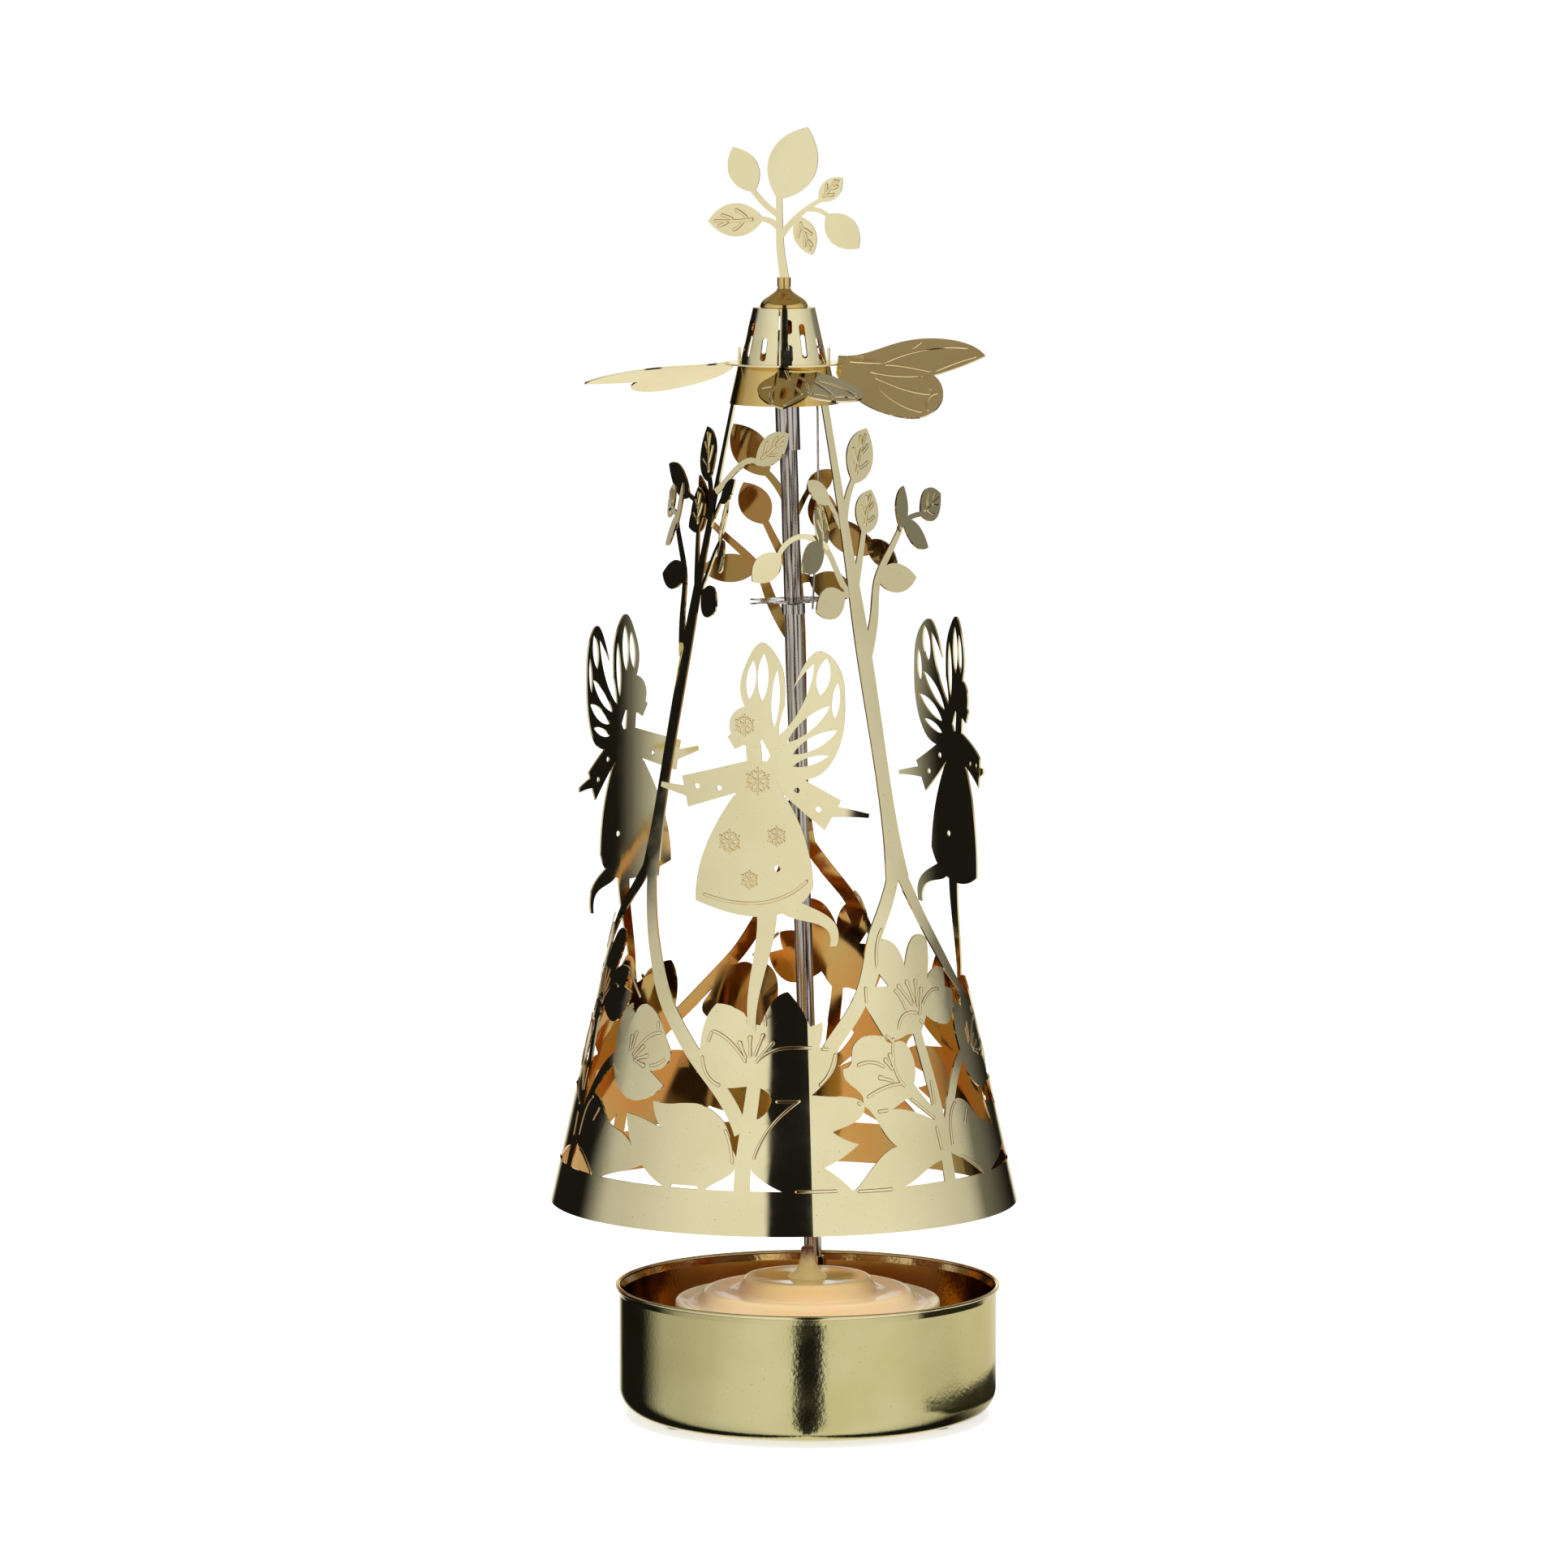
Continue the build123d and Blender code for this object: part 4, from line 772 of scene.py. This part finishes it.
# Place of each star on the drawn figure and the length of its arms, in mm.
STARS = ((-1.3, 39.8, 1.6), (0.6, 32.1, 2.0), (-3.5, 23.5, 1.8), (3.3, 24.5, 1.5), (-0.6, 18.3, 1.4))
STAR_FORK = 0.5
STAR_BARB = 0.42
BARB_LEAN = 55
STAR_WIDTH = 0.34 * MM
DRESS_LINE = ((-7.5, 16), (-2, 15), (3, 15.6), (7.8, 18.6))


def compass(angle):
    """Flat unit vector at an angle in degrees."""
    return np.array([np.cos(np.radians(angle)), np.sin(np.radians(angle))])


def star(x, y, arm):
    """Strokes of one star: an arm every 60 degrees, with a barb to either side of its outer half."""
    middle = np.array([x, y])
    strokes = [(middle - compass(angle) * arm, middle + compass(angle) * arm) for angle in (30, 90, 150)]
    for angle in range(30, 390, 60):
        fork = middle + compass(angle) * arm * STAR_FORK
        strokes += [(fork, fork + compass(angle + hand * BARB_LEAN) * arm * STAR_BARB) for hand in (-1, 1)]
    return strokes


fairy_ridges = []
for toe, facing in FAIRIES:
    board = fairy_board(toe, facing)
    fairy_ridges += [ridge(stroke, board, STAR_WIDTH, RAISED) for place in STARS for stroke in star(*place)]
    fairy_ridges.append(ridge(DRESS_LINE, board))
pressed("dress_lines", fairy_ridges, RAISED_BRASS)

# %% [markdown]
# ## Tealight
# Wax has no sharp corners, because it has melted and set again. Its outline is rounded by cutting every
# corner off, again and again, and is then turned about the upright axis. The wick flares where wax has crept
# up it.

# %% Turned wax and wick
ROUND_STEPS = 96


def softened(outline, times):
    """Corner cutting: each pass keeps the ends and puts two points at the quarters of every side."""
    points = np.array(outline)
    for _ in range(times):
        near = points[:-1] * 0.75 + points[1:] * 0.25
        far = points[:-1] * 0.25 + points[1:] * 0.75
        middle = np.stack([near, far], axis=1).reshape(-1, 2)
        points = np.concatenate([points[:1], middle, points[-1:]])
    return points


def spun(outline, ripple):
    """Grid of an outline of (radius, level), turned about the candle's middle.

    ripple(angle, level) scales the radius.
    """
    angle = np.linspace(0, 2 * np.pi, ROUND_STEPS, endpoint=False)
    radius = outline[:, :1] * ripple(angle[None, :], outline[:, 1:])
    level = np.broadcast_to(outline[:, 1:], radius.shape)
    return np.stack([radius * np.cos(angle), radius * np.sin(angle), level], axis=-1)[None]


WAX_LOW = float(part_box("candle_wax")[0][2])
WAX_OUTLINE = (
    (0, 0), (18.0, 0), (18.6, 0.6), (18.6, 15.0), (18.3, 15.4), (17.6, 15.3), (16.6, 14.9),
    (15.4, 15.1), (14.6, 16.5), (14.0, 16.8), (12.8, 16.7), (10.2, 16.5), (9.3, 17.4), (8.8, 18.5),
    (8.2, 18.6), (3.0, 18.36), (0, 18.3),
)
WAX_WAVES, WAX_RIPPLE, WAX_TURN = 3, 0.005, 400
wax_outline = softened(WAX_OUTLINE, 2)[::-1] * MM + np.array([0.0, WAX_LOW])


def wax_ripple(angle, level):
    """A set edge is never quite round: half a percent of slow waves, which turn with the level."""
    return 1 - WAX_RIPPLE * (1 + np.sin(WAX_WAVES * angle + WAX_TURN * level)) / 2


wax = surface("soft_wax", spun(wax_outline, wax_ripple), WAX, "candle", wrap=True)
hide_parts("candle_wax")

POOL_LEVEL = float(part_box("candle_wax")[1][2])
POOL_TO_TIP = (WICK_TOP - POOL_LEVEL) / MM
POOL_TO_FOOT = (WICK_LOW - POOL_LEVEL) / MM
WICK_OUTLINE = (
    (0, POOL_TO_FOOT), (0.8, POOL_TO_FOOT), (0.8, -0.6), (3.4, -0.5), (1.6, 0.8), (1.1, 2.0), (1.0, 3.2),
    (0.95, POOL_TO_TIP - 0.1), (0, POOL_TO_TIP),
)
STRANDS, STRAND_SWELL, STRAND_TURN = 3, 0.06, 2.4 / MM
wick_outline = softened(WICK_OUTLINE, 3)[::-1] * MM + np.array([0.0, POOL_LEVEL])


def wick_ripple(angle, level):
    """Three plaited strands: the radius swells three times round, and the strands turn as they climb."""
    return 1 - STRAND_SWELL * (1 + np.sin(STRANDS * angle + STRAND_TURN * level)) / 2


wick = surface("waxed_wick", spun(wick_outline, wick_ripple), WICK, "candle", wrap=True)
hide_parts("candle_wick")

# %% [markdown]
# ## Rolled rim
# The cup's edge shows as a fine light line, as a rolled and rubbed edge does. A flat edge would mirror one
# direction only. A round bead mirrors the whole room, so some of it always catches a soft box.

# %% Bead on the rim
RIM_BEAD = 0.3 * MM
RIM_CLEAR = 0.01 * MM
RIM_SINK = 0.2 * MM
RIM_STEPS = 13
RIM_WAVES, RIM_RIPPLE = 5, 0.001
cup_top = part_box("candle_cup")[1]
roll = np.linspace(0, 2 * np.pi, RIM_STEPS)
rim_radii = cup_top[0] - RIM_CLEAR - RIM_BEAD + RIM_BEAD * np.sin(roll)
rim_levels = cup_top[2] - RIM_SINK + RIM_BEAD * np.cos(roll)


def rim_ripple(angle, _):
    """A thousandth of slow waves round the cup, the same at every level."""
    return 1 - RIM_RIPPLE * (1 + np.sin(RIM_WAVES * angle)) / 2


rim_grid = spun(np.stack([rim_radii, rim_levels], axis=-1), rim_ripple)
surface("rolled_rim", rim_grid, PLATE_BRASS, "stand", wrap=True)

# %% [markdown]
# ## Studio
# Polished metal shows the room more than itself. Two wide soft boxes stand in front to the left and right,
# with a dark gap between them, and they fade outwards and upwards. The paper behind is white, so mirrors that
# look back show it too. The room is written into the world by direction, and the camera sees plain white.

# %% World
# Bearings in degrees, 0 towards the viewer and positive to the right: where an edge starts and where it ends.
LEFT_BOX_OUTER, LEFT_BOX_INNER, LEFT_BOX_FADE = (-122, -97), (-10, -6.5), (-118, -20)
RIGHT_BOX_INNER, RIGHT_BOX_OUTER, RIGHT_BOX_FADE = (11, 15), (104, 134), (45, 125)
PAPER_EDGE, BACK_WALL_EDGE, RIGHT_WALL_EDGE = (158, 170), (118, 132), (80, 112)
# Heights, as the upward part of a direction of length 1.
HORIZON, BOX_TOP, PAPER_TOP = (-0.08, 0.12), (0.55, 0.78), (0.30, 0.42)
BACK_WALL_FOOT, CEILING_EDGE, WARM_EDGE = (0.28, 0.42), (0.6, 0.8), (0.5, 0.8)
# Brightness, where 1 is white.
BACK_WALL, RIGHT_WALL, CEILING, DARK = 0.3, 0.24, 0.36, 0.012
LEFT_BOX_DIM, RIGHT_BOX_DIM = 0.40, 0.4
WHITE = (1, 1, 1, 1)
WARM_WHITE = (1.0, 0.80, 0.56, 1)
DEGREES = 180 / np.pi
world = bpy.data.worlds.new("studio")
bpy.context.scene.world = world
world.use_nodes = True
sky = world.node_tree
ray = Tone(sky, sky.nodes.new("ShaderNodeTexCoord").outputs["Generated"])
ray_x, ray_y, ray_z = ray.parts()
bearing = ray_x.math("ARCTAN2", ray_x, ray_y * -1.0) * DEGREES
away = bearing.math("ABSOLUTE", bearing, 0.0)
low = 1 - ray_z.rise(*HORIZON)
left_fade = bearing.rise(*LEFT_BOX_FADE) * LEFT_BOX_DIM + (1 - LEFT_BOX_DIM)
left_box = (bearing.rise(*LEFT_BOX_OUTER) - bearing.rise(*LEFT_BOX_INNER)) * left_fade
# Below the horizon the right box's inner edge lies 4 degrees further in, and its outer edge 16.
right_start = (bearing + low * 4).rise(*RIGHT_BOX_INNER)
right_end = (bearing + low * 16).rise(*RIGHT_BOX_OUTER)
right_box = (right_start - right_end) * (1 - bearing.rise(*RIGHT_BOX_FADE) * RIGHT_BOX_DIM)
boxes = (left_box + right_box) * (1 - ray_z.rise(*BOX_TOP))
paper = away.rise(*PAPER_EDGE) * (1 - ray_z.rise(*PAPER_TOP))
back_wall = away.rise(*BACK_WALL_EDGE) * ray_z.rise(*BACK_WALL_FOOT) * BACK_WALL
right_wall = bearing.rise(*RIGHT_WALL_EDGE) * (1 - low) * RIGHT_WALL
ceiling = ray_z.rise(*CEILING_EDGE) * CEILING
room = boxes + paper
for wall in (back_wall, right_wall, ceiling):
    room = room.math("MAXIMUM", room, wall)
level = room * (1 - DARK) + DARK
path = sky.nodes.new("ShaderNodeLightPath")
seen = Tone(sky, path.outputs["Is Camera Ray"])
mirrored = Tone(sky, path.outputs["Is Glossy Ray"])
tint = (ray_z.rise(*WARM_EDGE) * mirrored).mix(WHITE, WARM_WHITE)
backdrop = sky.nodes["Background"]
sky.links.new(tint.socket, backdrop.inputs["Color"])
sky.links.new((seen + level * (1 - seen)).socket, backdrop.inputs["Strength"])
print("world", len(sky.nodes), "nodes")

# %% [markdown]
# ## Floor and lamp
# The floor is white paper that takes the object's soft shadow. Mirrored in the cup it would hide the room, so
# glossy rays pass through it, except on the right: there the cup shows a lit floor with a painted shadow in
# it, a dark patch close to the cup.
# One wide lamp overhead gives the wax its light and the floor its shadow.

# %% Floor
FLOOR_REACH = 6.0
FLOOR_WHITE = (0.9, 0.9, 0.9, 1)
FLOOR_SHADE = (0.02, 0.02, 0.015, 1)
FLOOR_GLOW = 0.6
# Bearings in degrees and distances in metres from the cup's middle.
LIT_START, LIT_END = (55, 95), (0.16, 0.30)
SHADE_SIDES = ((52, 60), (120, 145))
SHADE_NEAR, SHADE_FAR = (0.0285, 0.0305), (0.050, 0.055)
floor_mesh = bpy.data.meshes.new("floor")
corners = np.array([[-1, -1, 0], [1, -1, 0], [1, 1, 0], [-1, 1, 0]]) * FLOOR_REACH
floor_mesh.from_pydata(corners.tolist(), [], [(0, 1, 2, 3)])
floor = bpy.data.objects.new("floor", floor_mesh)
bpy.context.collection.objects.link(floor)
floor_paper = bpy.data.materials.new("paper")
floor_paper.use_nodes = True
floor_mesh.materials.append(floor_paper)
tree = floor_paper.node_tree
shader = tree.nodes["Principled BSDF"]
shader.inputs["Roughness"].default_value = 1.0
shader.inputs["Emission Color"].default_value = WHITE
path = tree.nodes.new("ShaderNodeLightPath")
direct = Tone(tree, path.outputs["Is Camera Ray"])
mirrored = Tone(tree, path.outputs["Is Glossy Ray"])
spot_x, spot_y, _ = Tone(tree, tree.nodes.new("ShaderNodeTexCoord").outputs["Object"]).parts()
reach = spot_x.math("POWER", spot_x * spot_x + spot_y * spot_y, 0.5)
spot_bearing = spot_x.math("ARCTAN2", spot_x, spot_y * -1.0) * DEGREES
lit = spot_bearing.rise(*LIT_START) * (1 - reach.rise(*LIT_END))
# Painted shadow on the floor: a dark band close to the cup's right, seen only by glossy rays.
band = reach.rise(*SHADE_NEAR) - reach.rise(*SHADE_FAR)
sides = [spot_bearing.rise(*side) for side in SHADE_SIDES]
shade = band * (sides[0] - sides[1]) * mirrored
shown = lit.math("MAXIMUM", lit, shade)
clear = tree.nodes.new("ShaderNodeBsdfTransparent")
blend = tree.nodes.new("ShaderNodeMixShader")
tree.links.new(shade.mix(FLOOR_WHITE, FLOOR_SHADE).socket, shader.inputs["Base Color"])
tree.links.new((direct * FLOOR_GLOW).socket, shader.inputs["Emission Strength"])
tree.links.new((mirrored * (1 - shown)).socket, blend.inputs[0])
tree.links.new(shader.outputs[0], blend.inputs[1])
tree.links.new(clear.outputs[0], blend.inputs[2])
tree.links.new(blend.outputs[0], tree.nodes["Material Output"].inputs["Surface"])
print("floor", 2 * FLOOR_REACH, "m wide")

# %% Lamp
LAMP_WATTS = 7.5
LAMP_SIZE = 0.8
LAMP_PLACE = (0.0, -0.1, 1.0)
lamp_data = bpy.data.lights.new("overhead", "AREA")
lamp_data.energy = LAMP_WATTS
lamp_data.size = LAMP_SIZE
lamp = bpy.data.objects.new("overhead", lamp_data)
lamp.location = LAMP_PLACE
lamp.visible_glossy = False
bpy.context.collection.objects.link(lamp)
print("lamp", LAMP_WATTS, "W")

# %% [markdown]
# ## Camera
# The photograph was taken from a little above, through a long lens, straight in front of the spin axis.

# %% Camera
CAMERA_BACK = 1.155
CAMERA_LEVEL = 0.220
LOOK_LEVEL = 0.0858
FRAME_WIDTH = 0.222
SENSOR_WIDTH = 36.0
eye = Vector((AXIS[0], AXIS[1] - CAMERA_BACK, CAMERA_LEVEL))
target = Vector((AXIS[0], AXIS[1], LOOK_LEVEL))
camera_data = bpy.data.cameras.new("camera")
camera_data.sensor_width = SENSOR_WIDTH
camera_data.lens = SENSOR_WIDTH * (target - eye).length / FRAME_WIDTH
camera = bpy.data.objects.new("camera", camera_data)
camera.location = eye
camera.rotation_euler = (target - eye).to_track_quat("-Z", "Y").to_euler()
bpy.context.collection.objects.link(camera)
bpy.context.scene.camera = camera
bpy.context.scene.view_settings.view_transform = "Standard"
print("lens", round(camera_data.lens, 1))
